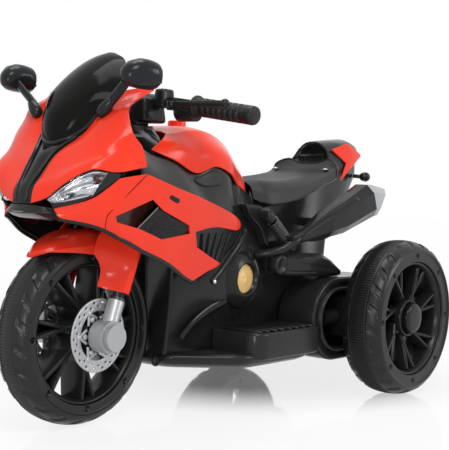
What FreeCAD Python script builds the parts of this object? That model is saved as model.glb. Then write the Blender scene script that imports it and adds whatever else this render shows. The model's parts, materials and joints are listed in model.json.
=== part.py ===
# Kids electric motorbike: a three-wheeled ride-on toy with moulded plastic fairings, a raked steering
# fork with one front wheel, and two driven rear wheels under a single seat.
# Frame: +X forward, +Y the rider's left, +Z up; origin on the floor, midway between the axles. Millimetres.
import FreeCAD
import Part
import Sketcher
import math
import os

V = FreeCAD.Vector
doc = FreeCAD.newDocument("kids_electric_motorbike")

# Driving sizes
SIZES = {
    "wheelbase": 556,
    "track": 350,
    "wheel_radius": 125,
    "front_tyre_width": 60,
    "rear_tyre_width": 72,
    "front_rim_radius": 95,
    "rear_rim_radius": 91,
    "tyre_wall": 4,
    "tread_rise": 15.5,
    "sidewall_step": 3,
    "wheel_bolt_count": 8,
    "wheel_bolt_radius": 4,
    "wheel_bolt_circle": 101,
    "rim_wall": 6,
    "front_hub_radius": 20,
    "rear_hub_radius": 26,
    "rear_hub_length": 58,
    "hub_cap_radius": 17,
    "hub_cap_height": 7,
    "spoke_count": 6,
    "spoke_width": 5,
    "spoke_depth": 22,
    "axle_radius": 5,
    "running_gap": 0.1,
    "part_gap": 0.3,
    "disc_radius": 50,
    "disc_thickness": 3,
    "disc_inset": 2,
    "disc_hole_radius": 2,
    "disc_hole_count": 24,
    "disc_window_count": 6,
    "rake": 20,
    "fork_spacing": 116,
    "slider_radius": 11.5,
    "slider_length": 54,
    "drum_radius": 22,
    "drum_length": 24,
    "axle_cap_radius": 18,
    "axle_cap_length": 7,
    "fork_tube_radius": 9,
    "fork_length": 168,
    "crown_height": 16,
    "crown_depth": 26,
    "stem_radius": 9,
    "stem_length": 180,
    "head_radius": 17,
    "head_length": 92,
    "head_lift": 12,
    "bar_radius": 8,
    "bar_width": 396,
    "bar_setback": 11,
    "clamp_width": 52,
    "clamp_height": 30,
    "clamp_depth": 44,
    "grip_radius": 13,
    "grip_length": 100,
    "grip_flange": 15.5,
    "grip_ring_count": 8,
    "grip_groove": 1.6,
    "perch_radius": 14,
    "perch_length": 30,
    "lever_reach": 34,
    "lever_rise": 8,
    "lever_length": 92,
    "lever_width": 10,
    "lever_thickness": 8,
    "lever_pin_radius": 3,
    "body_width": 230,
    "body_height": 508,
    "skin_wall": 3,
    "seat_wall": 4,
    "seam": 0.2,
    "cover_clearance": 6,
    "fender_clearance": 12,
    "mirror_stalk_radius": 4.5,
    "mirror_glass_thickness": 2,
    "indicator_radius": 8.5,
    "indicator_stalk_radius": 3,
    "muffler_stub_radius": 7,
    "head_beam_height": 26,
    "head_arm_thickness": 8,
    "dash_post_depth": 20,
    "dash_post_width": 28,
    "dash_thickness": 4,
    "lamp_depth": 14,
    "belly_depth": 24,
    "belly_wall": 3,
    "footboard_length": 152,
    "footboard_width": 88,
    "footboard_height": 31,
    "footboard_wall": 4,
    "footboard_corner": 22,
    "tread_bar_count": 8,
    "tread_bar_height": 3,
    "tread_bar_width": 9,
    "housing_radius": 65,
    "housing_length": 115,
    "housing_wall": 14,
    "housing_depth": 62,
    "housing_recess": 44,
    "spring_coils": 13,
    "spring_wire_radius": 1.5,
    "spring_radius": 6.4,
    "damper_radius": 4.2,
    "shock_eye_radius": 7,
    "pedal_length": 58,
    "pedal_width": 40,
    "pedal_thickness": 7,
    "pedal_pin_radius": 2.5,
    "button_radius": 8,
    "button_height": 9,
    "button_collar": 2,
    "button_travel": 2.6,
    "rocker_length": 24,
    "rocker_width": 14,
    "rocker_thickness": 5,
    "rocker_pin_radius": 1.5,
    "rocker_barrel_radius": 4,
    "rocker_lug": 4,
    "socket_bore": 2.8,
    "socket_depth": 9,
    "socket_radius": 7,
    "socket_lip": 2,
    "screw_head_radius": 5,
    "screw_head_height": 2.5,
    "screw_shank_radius": 2,
    "screw_length": 12,
    "disc_cover_radius": 24,
    "disc_cover_height": 8,
    "battery_length": 140,
    "battery_width": 88,
    "battery_height": 92,
    "motor_radius": 15,
    "motor_length": 40,
    "gearbox_width": 34,
}
sheet = doc.addObject("Spreadsheet::Sheet", "sizes")
for row, (alias, number) in enumerate(SIZES.items(), start=1):
    sheet.set(f"A{row}", alias)
    sheet.set(f"B{row}", str(number))
    sheet.setAlias(f"B{row}", alias)
doc.recompute()


class Size:
    """A length that knows its number and the sheet expression it comes from."""

    def __init__(self, number, text):
        self.number = float(number)
        self.text = text

    @staticmethod
    def of(value):
        return value if isinstance(value, Size) else Size(value, repr(float(value)))

    def join(self, other, sign, number):
        return Size(number, f"({self.text} {sign} {other.text})")

    def __add__(self, other):
        other = Size.of(other)
        return self.join(other, "+", self.number + other.number)

    def __sub__(self, other):
        other = Size.of(other)
        return self.join(other, "-", self.number - other.number)

    def __mul__(self, other):
        other = Size.of(other)
        return self.join(other, "*", self.number * other.number)

    def __truediv__(self, other):
        other = Size.of(other)
        return self.join(other, "/", self.number / other.number)

    def __neg__(self):
        return Size.of(0) - self

    def __float__(self):
        return self.number


def size(alias):
    return Size(SIZES[alias], f"sizes.{alias}")


def num(alias):
    return float(SIZES[alias])


# The body is drawn at these three sizes and stretched to the driving ones. What lies below the top of the wheels keeps
# its height beside them, and only the body above grows or shrinks.
DRAWN_WHEELBASE = 556
DRAWN_WIDTH = 230
DRAWN_HEIGHT = 508
WHEEL_TOP_DRAWN = 250
stretch_x = num("wheelbase") / DRAWN_WHEELBASE
stretch_y = num("body_width") / DRAWN_WIDTH
stretch_z = (num("body_height") - WHEEL_TOP_DRAWN) / (DRAWN_HEIGHT - WHEEL_TOP_DRAWN)
rear_x = -num("wheelbase") / 2
front_x = num("wheelbase") / 2
wheel_z = num("wheel_radius")


def raised(up):
    """The height in the driving body of a drawn height."""
    return up + max(up - WHEEL_TOP_DRAWN, 0) * (stretch_z - 1)


def at(ahead, left, up):
    """A point of the body: ahead of the rear axle, left of the middle, up from the floor."""
    return V(rear_x + ahead * stretch_x, left * stretch_y, raised(up))


def mirrored(rows):
    """The same points on the other side of the bike."""
    return [[V(p.x, -p.y, p.z) for p in row] for row in rows]


def points(*rows):
    """Rows of drawn points turned into rows of body points."""
    return [[at(*p) for p in row] for row in rows]


def whole(*rows):
    """Rows drawn from the left edge to the middle, completed with their mirrored right half."""
    full = []
    for row in rows:
        left = [at(*p) for p in row]
        right = [V(p.x, -p.y, p.z) for p in reversed(left[:-1])]
        full.append(left + right)
    return full


# Steering geometry: the steering axis leans back by the rake and passes through the front axle. The head tube and the
# handlebar keep their places in a taller or lower body, so the fork and its stem change their length and lean with it.
HEAD_DRAWN = 302
BAR_DRAWN = 430
drawn_rake = math.radians(num("rake"))
drawn_slope = math.tan(drawn_rake) * (BAR_DRAWN - wheel_z)
rake = math.atan(drawn_slope / (raised(BAR_DRAWN) - wheel_z))


def growth_at(height):
    """How much farther up the steering axis a drawn height lies than in the drawn body."""
    return (raised(height) - wheel_z) / math.cos(rake) - (height - wheel_z) / math.cos(drawn_rake)


fork_reach = size("fork_length") + growth_at(HEAD_DRAWN)
stem_reach = size("stem_length") + (growth_at(BAR_DRAWN) - growth_at(HEAD_DRAWN))
STEER_UP = V(-math.sin(rake), 0, math.cos(rake))
STEER_BACK = V(-math.cos(rake), 0, -math.sin(rake))
FRONT_AXLE = V(front_x, 0, wheel_z)
REAR_AXLE = V(rear_x, 0, wheel_z)
SIDEWAYS = V(0, 1, 0)
UPWARD = V(0, 0, 1)
leg_y = num("fork_spacing") / 2


def on_fork(along, left=0, back=0):
    """A point in the fork: along the steering axis from the front axle, to the left, and behind the axis."""
    return FRONT_AXLE + STEER_UP * along + SIDEWAYS * left + STEER_BACK * back


# Helpers for solids
def aimed(start, direction):
    return FreeCAD.Placement(start, FreeCAD.Rotation(UPWARD, direction))


def moved(place):
    return FreeCAD.Placement(place, FreeCAD.Rotation())


def cylinder(label, radius, length, start, direction=UPWARD):
    made = doc.addObject("Part::Cylinder", label)
    made.setExpression("Radius", Size.of(radius).text)
    made.setExpression("Height", Size.of(length).text)
    made.Placement = aimed(start, direction)
    return made


def box(label, length, width, height, corner, rotation=None):
    made = doc.addObject("Part::Box", label)
    made.setExpression("Length", Size.of(length).text)
    made.setExpression("Width", Size.of(width).text)
    made.setExpression("Height", Size.of(height).text)
    made.Placement = FreeCAD.Placement(corner, rotation or FreeCAD.Rotation())
    return made


def sphere(label, radius, centre):
    made = doc.addObject("Part::Sphere", label)
    made.setExpression("Radius", Size.of(radius).text)
    made.Placement = moved(centre)
    return made


def fuse(label, *pieces):
    made = doc.addObject("Part::MultiFuse", label)
    made.Shapes = list(pieces)
    return made


def cut(label, base, *tools):
    made = doc.addObject("Part::Cut", label)
    made.Base = base
    made.Tool = tools[0] if len(tools) == 1 else fuse(label + "_tools", *tools)
    return made


def group(label, *pieces):
    made = doc.addObject("Part::Compound", label)
    made.Links = list(pieces)
    return made


def mirror(label, source):
    made = doc.addObject("Part::Mirroring", label)
    made.Source = source
    made.Normal = SIDEWAYS
    made.Base = V(0, 0, 0)
    return made


def pair(label, source):
    """A left piece and its mirrored right twin, kept in one node."""
    return group(label, source, mirror(label + "_twin", source))


def solid_of(corners, triangles):
    shell = Part.Shape()
    shell.makeShapeFromMesh((corners, triangles), 0.001)
    made = Part.Solid(shell.Shells[0])
    if made.Volume < 0:
        made.reverse()
    return made


def feature(label, shape, place=None):
    made = doc.addObject("Part::Feature", label)
    made.Shape = shape
    made.Placement = place or FreeCAD.Placement()
    return made


HEART = at(300, 0, 250)
PARTING = 0.3


def normals_of(rows, inside):
    """Unit normals at the points of a grid, averaged from its cells and turned away from an inside point."""
    normals = [[V(0, 0, 0) for _ in row] for row in rows]
    for i in range(len(rows) - 1):
        for j in range(len(rows[0]) - 1):
            facet = (rows[i + 1][j + 1] - rows[i][j]).cross(rows[i + 1][j] - rows[i][j + 1])
            for k in (i, i + 1):
                for m in (j, j + 1):
                    normals[k][m] += facet
    facing = sum(n.dot(p - inside) for line, row in zip(normals, rows) for n, p in zip(line, row))
    for line in normals:
        for normal in line:
            normal.multiply(1 if facing > 0 else -1)
            normal.normalize()
    return normals


def inset(rows, seam):
    """The grid with its border drawn in by the seam, so that neighbours keep a parting line."""
    last_row = len(rows) - 1
    last_col = len(rows[0]) - 1
    drawn = [[V(p) for p in row] for row in rows]

    def pull(i, j, towards):
        step = towards - rows[i][j]
        if step.Length > 4 * seam:
            drawn[i][j] += step.normalize() * seam

    for j in range(last_col + 1):
        pull(0, j, rows[1][j])
        pull(last_row, j, rows[last_row - 1][j])
    for i in range(last_row + 1):
        pull(i, 0, rows[i][1])
        pull(i, last_col, rows[i][last_col - 1])
    return drawn


def skin(label, rows, wall=None, open_cells=(), inside=None, seam=None):
    """A thin moulded panel: rows of points span its outer face and its inner face lies one wall inside."""
    wall = num("skin_wall") if wall is None else wall
    outer = inset(rows, num("seam") if seam is None else seam)
    normals = normals_of(outer, inside or HEART)
    for row, line in zip(outer, normals):
        for p, normal in zip(row, line):
            if abs(p.y) < 2 * PARTING and abs(p.y) > 0:
                normal.y = 0
                normal.normalize()
    columns = len(outer[0])
    corners = [p for row in outer for p in row]
    corners += [p - n * wall for row, line in zip(outer, normals) for p, n in zip(row, line)]
    back = len(outer) * columns
    kept = {(i, j) for i in range(len(outer) - 1) for j in range(columns - 1)} - set(open_cells)
    triangles = []
    for i, j in sorted(kept):
        a = i * columns + j
        b, c, d = a + 1, a + columns + 1, a + columns
        triangles += [(a, b, c), (a, c, d), (back + a, back + c, back + b), (back + a, back + d, back + c)]
        sides = (((i - 1, j), b, a), ((i + 1, j), d, c), ((i, j - 1), a, d), ((i, j + 1), c, b))
        for neighbour, start, end in sides:
            if neighbour not in kept:
                triangles += [(start, end, back + end), (start, back + end, back + start)]
    used = sorted({corner for triangle in triangles for corner in triangle})
    index = {corner: k for k, corner in enumerate(used)}
    renumbered = [tuple(index[k] for k in triangle) for triangle in triangles]
    return feature(label, solid_of([corners[k] for k in used], renumbered))


def loft(label, rings):
    """A closed solid through rings of points, flat at both ends."""
    sides = len(rings[0])
    corners = [p for ring in rings for p in ring]
    triangles = []
    for i in range(len(rings) - 1):
        for j in range(sides):
            a = i * sides + j
            b = i * sides + (j + 1) % sides
            triangles += [(a, b, b + sides), (a, b + sides, a + sides)]
    for ring, turned in ((0, True), (len(rings) - 1, False)):
        middle = V(0, 0, 0)
        for p in rings[ring]:
            middle += p * (1 / sides)
        corners.append(middle)
        for j in range(sides):
            edge = (ring * sides + j, ring * sides + (j + 1) % sides)
            triangles.append((edge[1], edge[0], len(corners) - 1) if turned else (*edge, len(corners) - 1))
    return feature(label, solid_of(corners, triangles))


def octagon(ahead, left, up, half_width, half_height, lean=0):
    """A drawn ring with cut corners across the bike; with a lean its top lies farther ahead."""
    flat = 0.5
    ring = [(half_width, flat * half_height), (flat * half_width, half_height)]
    ring += [(-y, z) for y, z in reversed(ring)]
    ring += [(-y, -z) for y, z in ring]
    return [at(ahead + z * lean, left + y, up + z) for y, z in ring]


# Helpers for bodies made of sketches
def plane_of(body, role):
    return next(item for item in body.Origin.OriginFeatures if item.Role == role)


def sketch_on(body, role, name):
    drawn = body.newObject("Sketcher::SketchObject", name)
    drawn.AttachmentSupport = (plane_of(body, role), [""])
    drawn.MapMode = "FlatFace"
    return drawn


def pin_point(drawn, line, end, x, y):
    for kind, value in (("DistanceX", Size.of(x)), ("DistanceY", Size.of(y))):
        index = drawn.addConstraint(Sketcher.Constraint(kind, line, end, float(value)))
        drawn.setExpression(f"Constraints[{index}]", value.text)


def polygon(drawn, corners):
    """A closed outline whose every corner is held to the sheet."""
    spots = [V(float(x), float(y), 0) for x, y in corners]
    lines = []
    for start, end in zip(spots, spots[1:] + spots[:1]):
        lines.append(drawn.addGeometry(Part.LineSegment(start, end), False))
    for line, following in zip(lines, lines[1:] + lines[:1]):
        drawn.addConstraint(Sketcher.Constraint("Coincident", line, 2, following, 1))
    for line, (x, y) in zip(lines, corners):
        pin_point(drawn, line, 1, x, y)


def circle(drawn, x, y, radius):
    radius = Size.of(radius)
    ring = drawn.addGeometry(Part.Circle(V(float(x), float(y), 0), UPWARD, float(radius)), False)
    pin_point(drawn, ring, 3, x, y)
    index = drawn.addConstraint(Sketcher.Constraint("Radius", ring, float(radius)))
    drawn.setExpression(f"Constraints[{index}]", radius.text)


def new_body(label, place):
    body = doc.addObject("PartDesign::Body", label)
    body.Placement = moved(place)
    return body


def pad(body, drawn, length, name, symmetric=False, reverse=False):
    made = body.newObject("PartDesign::Pad", name)
    made.Profile = drawn
    made.setExpression("Length", Size.of(length).text)
    made.Reversed = reverse
    if symmetric:
        made.SideType = "Symmetric"
    doc.recompute()
    return made


def pocket(body, drawn, name, depth=None, reverse=False):
    made = body.newObject("PartDesign::Pocket", name)
    made.Profile = drawn
    if depth is None:
        made.Type = "ThroughAll"
        made.SideType = "Symmetric"
    else:
        made.setExpression("Length", Size.of(depth).text)
        made.Reversed = reverse
    doc.recompute()
    return made


def revolve(body, drawn, name):
    made = body.newObject("PartDesign::Revolution", name)
    made.Profile = drawn
    made.ReferenceAxis = (drawn, ["H_Axis"])
    made.Angle = 360
    doc.recompute()
    return made


def ring_of(body, original, count, name):
    """Copies of a feature spread evenly round the body's sideways axis."""
    made = body.newObject("PartDesign::PolarPattern", name)
    made.Originals = [original]
    made.Axis = (plane_of(body, "Y_Axis"), [""])
    made.Angle = 360
    made.setExpression("Occurrences", count.text)
    body.Tip = made
    doc.recompute()
    return made


NODES = {}


def node(made, label):
    made.Label = label
    NODES[label] = made
    return made


# Wheels
def tyre(label, width, seat_radius, place):
    """A hollow moulded tyre: flat side rings with bolt holes and a domed tread, open towards the rim."""
    body = new_body(label, place)
    half = width / 2
    side = half - size("sidewall_step")
    shoulder = size("wheel_radius") - size("tread_rise")
    profile = sketch_on(body, "YZ_Plane", label + "_profile")
    wall = size("tyre_wall")
    crown = size("wheel_radius")
    rise = size("tread_rise")
    tread = [(half, shoulder), (half * 0.9, shoulder + rise * 0.42), (half * 0.66, shoulder + rise * 0.76),
             (half * 0.36, crown - rise * 0.06), (half * 0.0, crown)]
    inner_half = side - wall
    inside = [(inner_half * 0.0, crown - wall), (inner_half * 0.6, crown - wall * 1.6),
              (inner_half, shoulder - wall)]
    bead = seat_radius + size("part_gap")
    right_side = [(side, bead), (side, shoulder - wall / 2)] + tread
    left_side = [(-y, r) for y, r in reversed(right_side[:-1])]
    left_inner = [(-inner_half, bead)] + [(-y, r) for y, r in reversed(inside[1:])]
    right_inner = inside + [(inner_half, bead)]
    polygon(profile, right_side + left_side + left_inner + right_inner)
    revolve(body, profile, label + "_ring")
    holes = sketch_on(body, "XZ_Plane", label + "_hole")
    circle(holes, Size.of(0), size("wheel_bolt_circle"), size("wheel_bolt_radius"))
    ring_of(body, pocket(body, holes, label + "_bolt_hole"), size("wheel_bolt_count"), label + "_bolt_holes")
    return node(body, label)


def rim(label, radius, half_width, hub_radius, hub_out, hub_in, place):
    """A rim ring, a hub with its axle bore, and pairs of swept spokes between them."""
    body = new_body(label, place)
    profile = sketch_on(body, "YZ_Plane", label + "_profile")
    barrel = radius - size("rim_wall")
    polygon(profile, [(-half_width, radius), (-half_width, barrel), (half_width, barrel), (half_width, radius)])
    revolve(body, profile, label + "_ring")
    hub = sketch_on(body, "YZ_Plane", label + "_hub_profile")
    bore = size("axle_radius") + size("running_gap")
    polygon(hub, [(-hub_in, bore), (hub_out, bore), (hub_out, hub_radius), (-hub_in, hub_radius)])
    spokes = sketch_on(body, "XZ_Plane", label + "_spokes")
    root = hub_radius * 0.93
    tip = radius - size("rim_wall") / 2
    width = size("spoke_width")
    lean = radius * 0.34
    polygon(spokes, [(-width, root), (width, root), (lean + width, tip * 0.94), (lean - width, tip * 0.94)])
    blade = pad(body, spokes, size("spoke_depth"), label + "_spoke", symmetric=True)
    ring_of(body, blade, size("spoke_count"), label + "_spoke_ring")
    twin = sketch_on(body, "XZ_Plane", label + "_twin_spokes")
    polygon(twin, [(-width, root), (width, root), (width - lean * 0.4, tip), (-width - lean * 0.4, tip)])
    twin_blade = pad(body, twin, size("spoke_depth"), label + "_twin_spoke", symmetric=True)
    ring_of(body, twin_blade, size("spoke_count"), label + "_twin_spoke_ring")
    body.Tip = revolve(body, hub, label + "_hub")
    doc.recompute()
    return body


def brake_disc(left):
    """A drilled disc with windows round its carrier, fixed to one end of the front hub."""
    side = "left" if left > 0 else "right"
    body = new_body(f"brake_disc_{side}", FRONT_AXLE + SIDEWAYS * left)
    face = sketch_on(body, "XZ_Plane", f"disc_face_{side}")
    circle(face, Size.of(0), Size.of(0), size("disc_radius"))
    circle(face, Size.of(0), Size.of(0), size("axle_radius") + size("part_gap") * 4)
    pad(body, face, size("disc_thickness"), f"disc_plate_{side}", symmetric=True)
    window = sketch_on(body, "XZ_Plane", f"disc_window_sketch_{side}")
    circle(window, Size.of(0), size("disc_radius") * 0.58, size("disc_radius") * 0.13)
    ring_of(body, pocket(body, window, f"disc_window_{side}"), size("disc_window_count"), f"disc_windows_{side}")
    for ring, share in enumerate((0.8, 0.91)):
        hole = sketch_on(body, "XZ_Plane", f"disc_hole_sketch_{side}_{ring}")
        turn = math.pi * ring / num("disc_hole_count")
        far = size("disc_radius") * share
        circle(hole, far * math.sin(turn), far * math.cos(turn), size("disc_hole_radius"))
        drilled = pocket(body, hole, f"disc_hole_{side}_{ring}")
        ring_of(body, drilled, size("disc_hole_count"), f"disc_holes_{side}_{ring}")
    return body


hub_half = (size("fork_spacing") / 2 - size("drum_length") / 2 - size("disc_inset") - size("disc_thickness")
            - size("part_gap"))


def front_wheel():
    tyre("front_tyre", size("front_tyre_width"), size("front_rim_radius"), FRONT_AXLE)
    half = size("front_tyre_width") / 2 - size("sidewall_step") - size("tyre_wall")
    wheel = rim("front_rim", size("front_rim_radius"), half, size("front_hub_radius"), hub_half, hub_half, FRONT_AXLE)
    node(wheel, "front_rim")
    disc_y = float(hub_half) + num("disc_thickness") / 2 + num("part_gap") / 2
    node(group("brake_discs", brake_disc(disc_y), brake_disc(-disc_y)), "brake_discs")


def rear_wheel(side, left):
    place = REAR_AXLE + SIDEWAYS * (left * num("track") / 2)
    tyre(f"rear_tyre_{side}", size("rear_tyre_width"), size("rear_rim_radius"), place)
    half = size("rear_tyre_width") / 2 - size("sidewall_step") - size("tyre_wall")
    hub_out = size("rear_hub_length") / 2 - size("hub_cap_height")
    hub_in = size("rear_hub_length") / 2 + size("part_gap")
    turned = FreeCAD.Placement(place, FreeCAD.Rotation(UPWARD, 0 if left > 0 else 180))
    wheel = rim(f"rear_rim_body_{side}", size("rear_rim_radius"), half, size("rear_hub_radius"), hub_out, hub_in,
                place)
    wheel.Placement = turned
    cap = cylinder(f"hub_cap_{side}", size("hub_cap_radius"), size("hub_cap_height"),
                   place + SIDEWAYS * (left * (float(hub_out) + num("part_gap"))), SIDEWAYS * left)
    node(group(f"rear_rim_{side}", wheel, cap), f"rear_rim_{side}")


# Steering fork
def fork_yoke():
    """Stem, crown and both fork tubes, welded into one steel piece."""
    crown_start = float(fork_reach) - num("crown_height") / 2
    stem = cylinder("stem_rod", size("stem_radius"), stem_reach, on_fork(crown_start), STEER_UP)
    lean = FreeCAD.Rotation(SIDEWAYS, -math.degrees(rake))
    corner = on_fork(crown_start, -leg_y - num("slider_radius"), num("crown_depth") / 2)
    crown = box("crown_block", size("crown_depth"), size("fork_spacing") + size("slider_radius") * 2,
                size("crown_height"), corner, lean)
    tubes = [cylinder(f"fork_tube_{k}", size("fork_tube_radius"),
                      fork_reach - size("drum_radius") - size("part_gap"),
                      on_fork(num("drum_radius") + num("part_gap"), left), STEER_UP)
             for k, left in enumerate((leg_y, -leg_y))]
    node(fuse("fork_yoke", stem, crown, *tubes), "fork_yoke")


def fork_lower(side, left):
    """One fork slider with the drum that holds the axle end, and its separate end cap."""
    inner = left * (leg_y - num("drum_length") / 2)
    out = SIDEWAYS * left
    drum = cylinder(f"drum_{side}", size("drum_radius"), size("drum_length"), FRONT_AXLE + SIDEWAYS * inner, out)
    slider = cylinder(f"slider_{side}", size("slider_radius"), size("slider_length"),
                      on_fork(0, left * leg_y), STEER_UP)
    tube_hole = cylinder(f"tube_hole_{side}", size("fork_tube_radius") + size("running_gap"), size("slider_length"),
                         on_fork(num("drum_radius"), left * leg_y), STEER_UP)
    axle_hole = cylinder(f"axle_hole_{side}", size("axle_radius") + size("running_gap"), size("drum_length") * 1.2,
                         FRONT_AXLE + SIDEWAYS * inner - out, out)
    leg = cut(f"fork_leg_{side}", fuse(f"fork_leg_raw_{side}", drum, slider), tube_hole, axle_hole)
    cap_start = FRONT_AXLE + SIDEWAYS * (inner + left * (num("drum_length") + num("part_gap")))
    cap = cylinder(f"axle_cap_{side}", size("axle_cap_radius"), size("axle_cap_length"), cap_start, out)
    return [leg, cap]


def front_axle():
    reach = size("fork_spacing") + size("drum_length")
    start = FRONT_AXLE - SIDEWAYS * (float(reach) / 2)
    node(cylinder("front_axle", size("axle_radius"), reach, start, SIDEWAYS), "front_axle")


# Hood stations: angle up from level ahead of the axle, half width, and radius of the hem as a share of the arch
FENDER_STATIONS = [(47, 5, 0.985), (54, 20, 0.935), (63, 32, 0.855), (74, 38, 0.80), (87, 40, 0.765), (101, 40, 0.75),
                   (116, 40, 0.76)]
# Fork cover stations: distance up the fork, reach ahead of it, reach behind it, and bulge outwards
FORK_COVER_STATIONS = [(62, 24, 24, 15), (92, 26, 27, 17), (124, 24, 30, 17), (159.5, 14, 26, 13)]
FORK_COVER_INNER = -17.5
FORK_COVER_EDGE = 2


def front_fender():
    """A hood over the front tyre, with a cover down the outside of each fork leg."""
    arch = num("wheel_radius") + num("fender_clearance") + num("skin_wall")
    bulge = 0.97
    crown_share = 0.6
    crown_drop = 0.985
    bevel = 0.62
    bevel_out = 0.86
    rows = []
    for angle, half_width, hem in FENDER_STATIONS:
        lean = math.radians(angle)
        out = V(math.cos(lean), 0, math.sin(lean))
        half = [(half_width, arch * hem), (half_width * bulge, arch * (0.55 * hem + 0.43)),
                (half_width * crown_share, arch * crown_drop), (0, arch)]
        left = [FRONT_AXLE + out * far + SIDEWAYS * y for y, far in half]
        rows.append(left + [V(p.x, -p.y, p.z) for p in reversed(left[:-1])])
    hood = skin("fender_hood", rows, inside=FRONT_AXLE, seam=0)
    covers = []
    for side, left in (("left", 1), ("right", -1)):
        bands = []
        for along, ahead, behind, out in FORK_COVER_STATIONS:
            ring = [(-ahead, FORK_COVER_INNER), (-ahead, FORK_COVER_EDGE), (-ahead * bevel, out * bevel_out),
                    (0, out), (behind * bevel, out * bevel_out), (behind, FORK_COVER_EDGE),
                    (behind, FORK_COVER_INNER)]
            bands.append([on_fork(along, left * (leg_y + y), back) for back, y in ring])
        covers.append(skin(f"fork_cover_{side}", bands, inside=on_fork(100, left * (leg_y - 14)), seam=0))
    node(group("front_fender", hood, *covers), "front_fender")


# Handlebar
bar_along = float(fork_reach + stem_reach) - num("crown_height") / 2 - num("clamp_height") / 2
BAR_CENTRE = on_fork(bar_along) + V(-num("bar_setback"), 0, 0)


def handlebar():
    reach = num("bar_width") / 2
    share_behind = 0.36
    bar = cylinder("bar_tube", size("bar_radius"), size("bar_width"), BAR_CENTRE - SIDEWAYS * reach, SIDEWAYS)
    corner = BAR_CENTRE + V(-num("clamp_depth") * share_behind, -num("clamp_width") / 2, -num("clamp_height") / 2)
    clamp = box("bar_clamp", size("clamp_depth"), size("clamp_width"), size("clamp_height"), corner)
    bore = cylinder("clamp_bore", size("stem_radius") + size("running_gap"), stem_reach,
                    on_fork(bar_along - float(stem_reach) / 2), STEER_UP)
    node(cut("handlebar", fuse("handlebar_raw", bar, clamp), bore), "handlebar")


grip_start = num("bar_width") / 2 - num("grip_length")


def grip(side, left):
    """A ribbed hand grip with a flange at its inner end and a closed outer end."""
    body = new_body(f"grip_{side}", BAR_CENTRE + SIDEWAYS * (left * grip_start))
    body.Placement = FreeCAD.Placement(body.Placement.Base, FreeCAD.Rotation(UPWARD, 0 if left > 0 else 180))
    profile = sketch_on(body, "YZ_Plane", f"grip_profile_{side}")
    bore = size("bar_radius") + size("running_gap")
    radius = size("grip_radius")
    length = size("grip_length")
    flange = 4
    flange_slope = 2
    end_chamfer = 3
    ribbed_share = 0.8
    end = length + size("cover_clearance")
    polygon(profile, [(Size.of(0), bore), (length + size("part_gap"), bore), (length + size("part_gap"), Size.of(0)),
                      (end, Size.of(0)), (end, radius * 0.8), (end - end_chamfer, radius),
                      (Size.of(flange + flange_slope), radius), (Size.of(flange), size("grip_flange")),
                      (Size.of(0), size("grip_flange"))])
    revolve(body, profile, f"grip_sleeve_{side}")
    groove = sketch_on(body, "YZ_Plane", f"grip_groove_sketch_{side}")
    start = Size.of(flange * 3)
    gap = size("grip_groove")
    polygon(groove, [(start, radius - gap), (start + gap * 2, radius - gap), (start + gap * 2, radius + gap),
                     (start, radius + gap)])
    ring = body.newObject("PartDesign::Groove", f"grip_groove_{side}")
    ring.Profile = groove
    ring.ReferenceAxis = (groove, ["H_Axis"])
    ring.Angle = 360
    doc.recompute()
    rings = body.newObject("PartDesign::LinearPattern", f"grip_grooves_{side}")
    rings.Originals = [ring]
    rings.Direction = (plane_of(body, "Y_Axis"), [""])
    rings.setExpression("Length", (length * ribbed_share).text)
    rings.setExpression("Occurrences", size("grip_ring_count").text)
    body.Tip = rings
    doc.recompute()
    return body


lever_y = grip_start - num("part_gap") * 2 - num("perch_length") / 2


def lever_pivot(left):
    return BAR_CENTRE + V(num("lever_reach"), left * lever_y, num("lever_rise"))


def switch_housing(side, left):
    """The clamp round the bar beside a grip, with the fork-shaped ears of the brake lever."""
    start = BAR_CENTRE + SIDEWAYS * (left * (lever_y - num("perch_length") / 2))
    ring = cylinder(f"perch_ring_{side}", size("perch_radius"), size("perch_length"), start, SIDEWAYS * left)
    thick = num("lever_thickness")
    ear = num("lever_width") * 0.4
    pivot = lever_pivot(left)
    pieces = [ring]
    for k, low in enumerate((-thick / 2 - num("part_gap") - ear, thick / 2 + num("part_gap"))):
        reach = num("lever_reach") + num("lever_width") / 2
        corner = V(pivot.x - num("lever_reach"), pivot.y - num("lever_width") / 2, pivot.z + low)
        pieces.append(box(f"lever_ear_{side}_{k}", reach, size("lever_width"), ear, corner))
    post_height = num("lever_rise") + thick / 2 + num("part_gap") + ear
    corner = V(BAR_CENTRE.x, pivot.y - num("lever_width") / 2, BAR_CENTRE.z)
    pieces.append(box(f"lever_post_{side}", size("perch_radius"), size("lever_width"), post_height, corner))
    pin_low = pivot - UPWARD * (thick / 2 + num("part_gap") + ear)
    pin_length = thick + 2 * (num("part_gap") + ear)
    pieces.append(cylinder(f"lever_pin_{side}", size("lever_pin_radius"), pin_length, pin_low))
    bore = cylinder(f"perch_bore_{side}", size("bar_radius") + size("running_gap"), size("perch_length") * 1.2,
                    start - SIDEWAYS * left, SIDEWAYS * left)
    return cut(f"switch_housing_{side}", fuse(f"switch_housing_raw_{side}", *pieces), bore)


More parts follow.
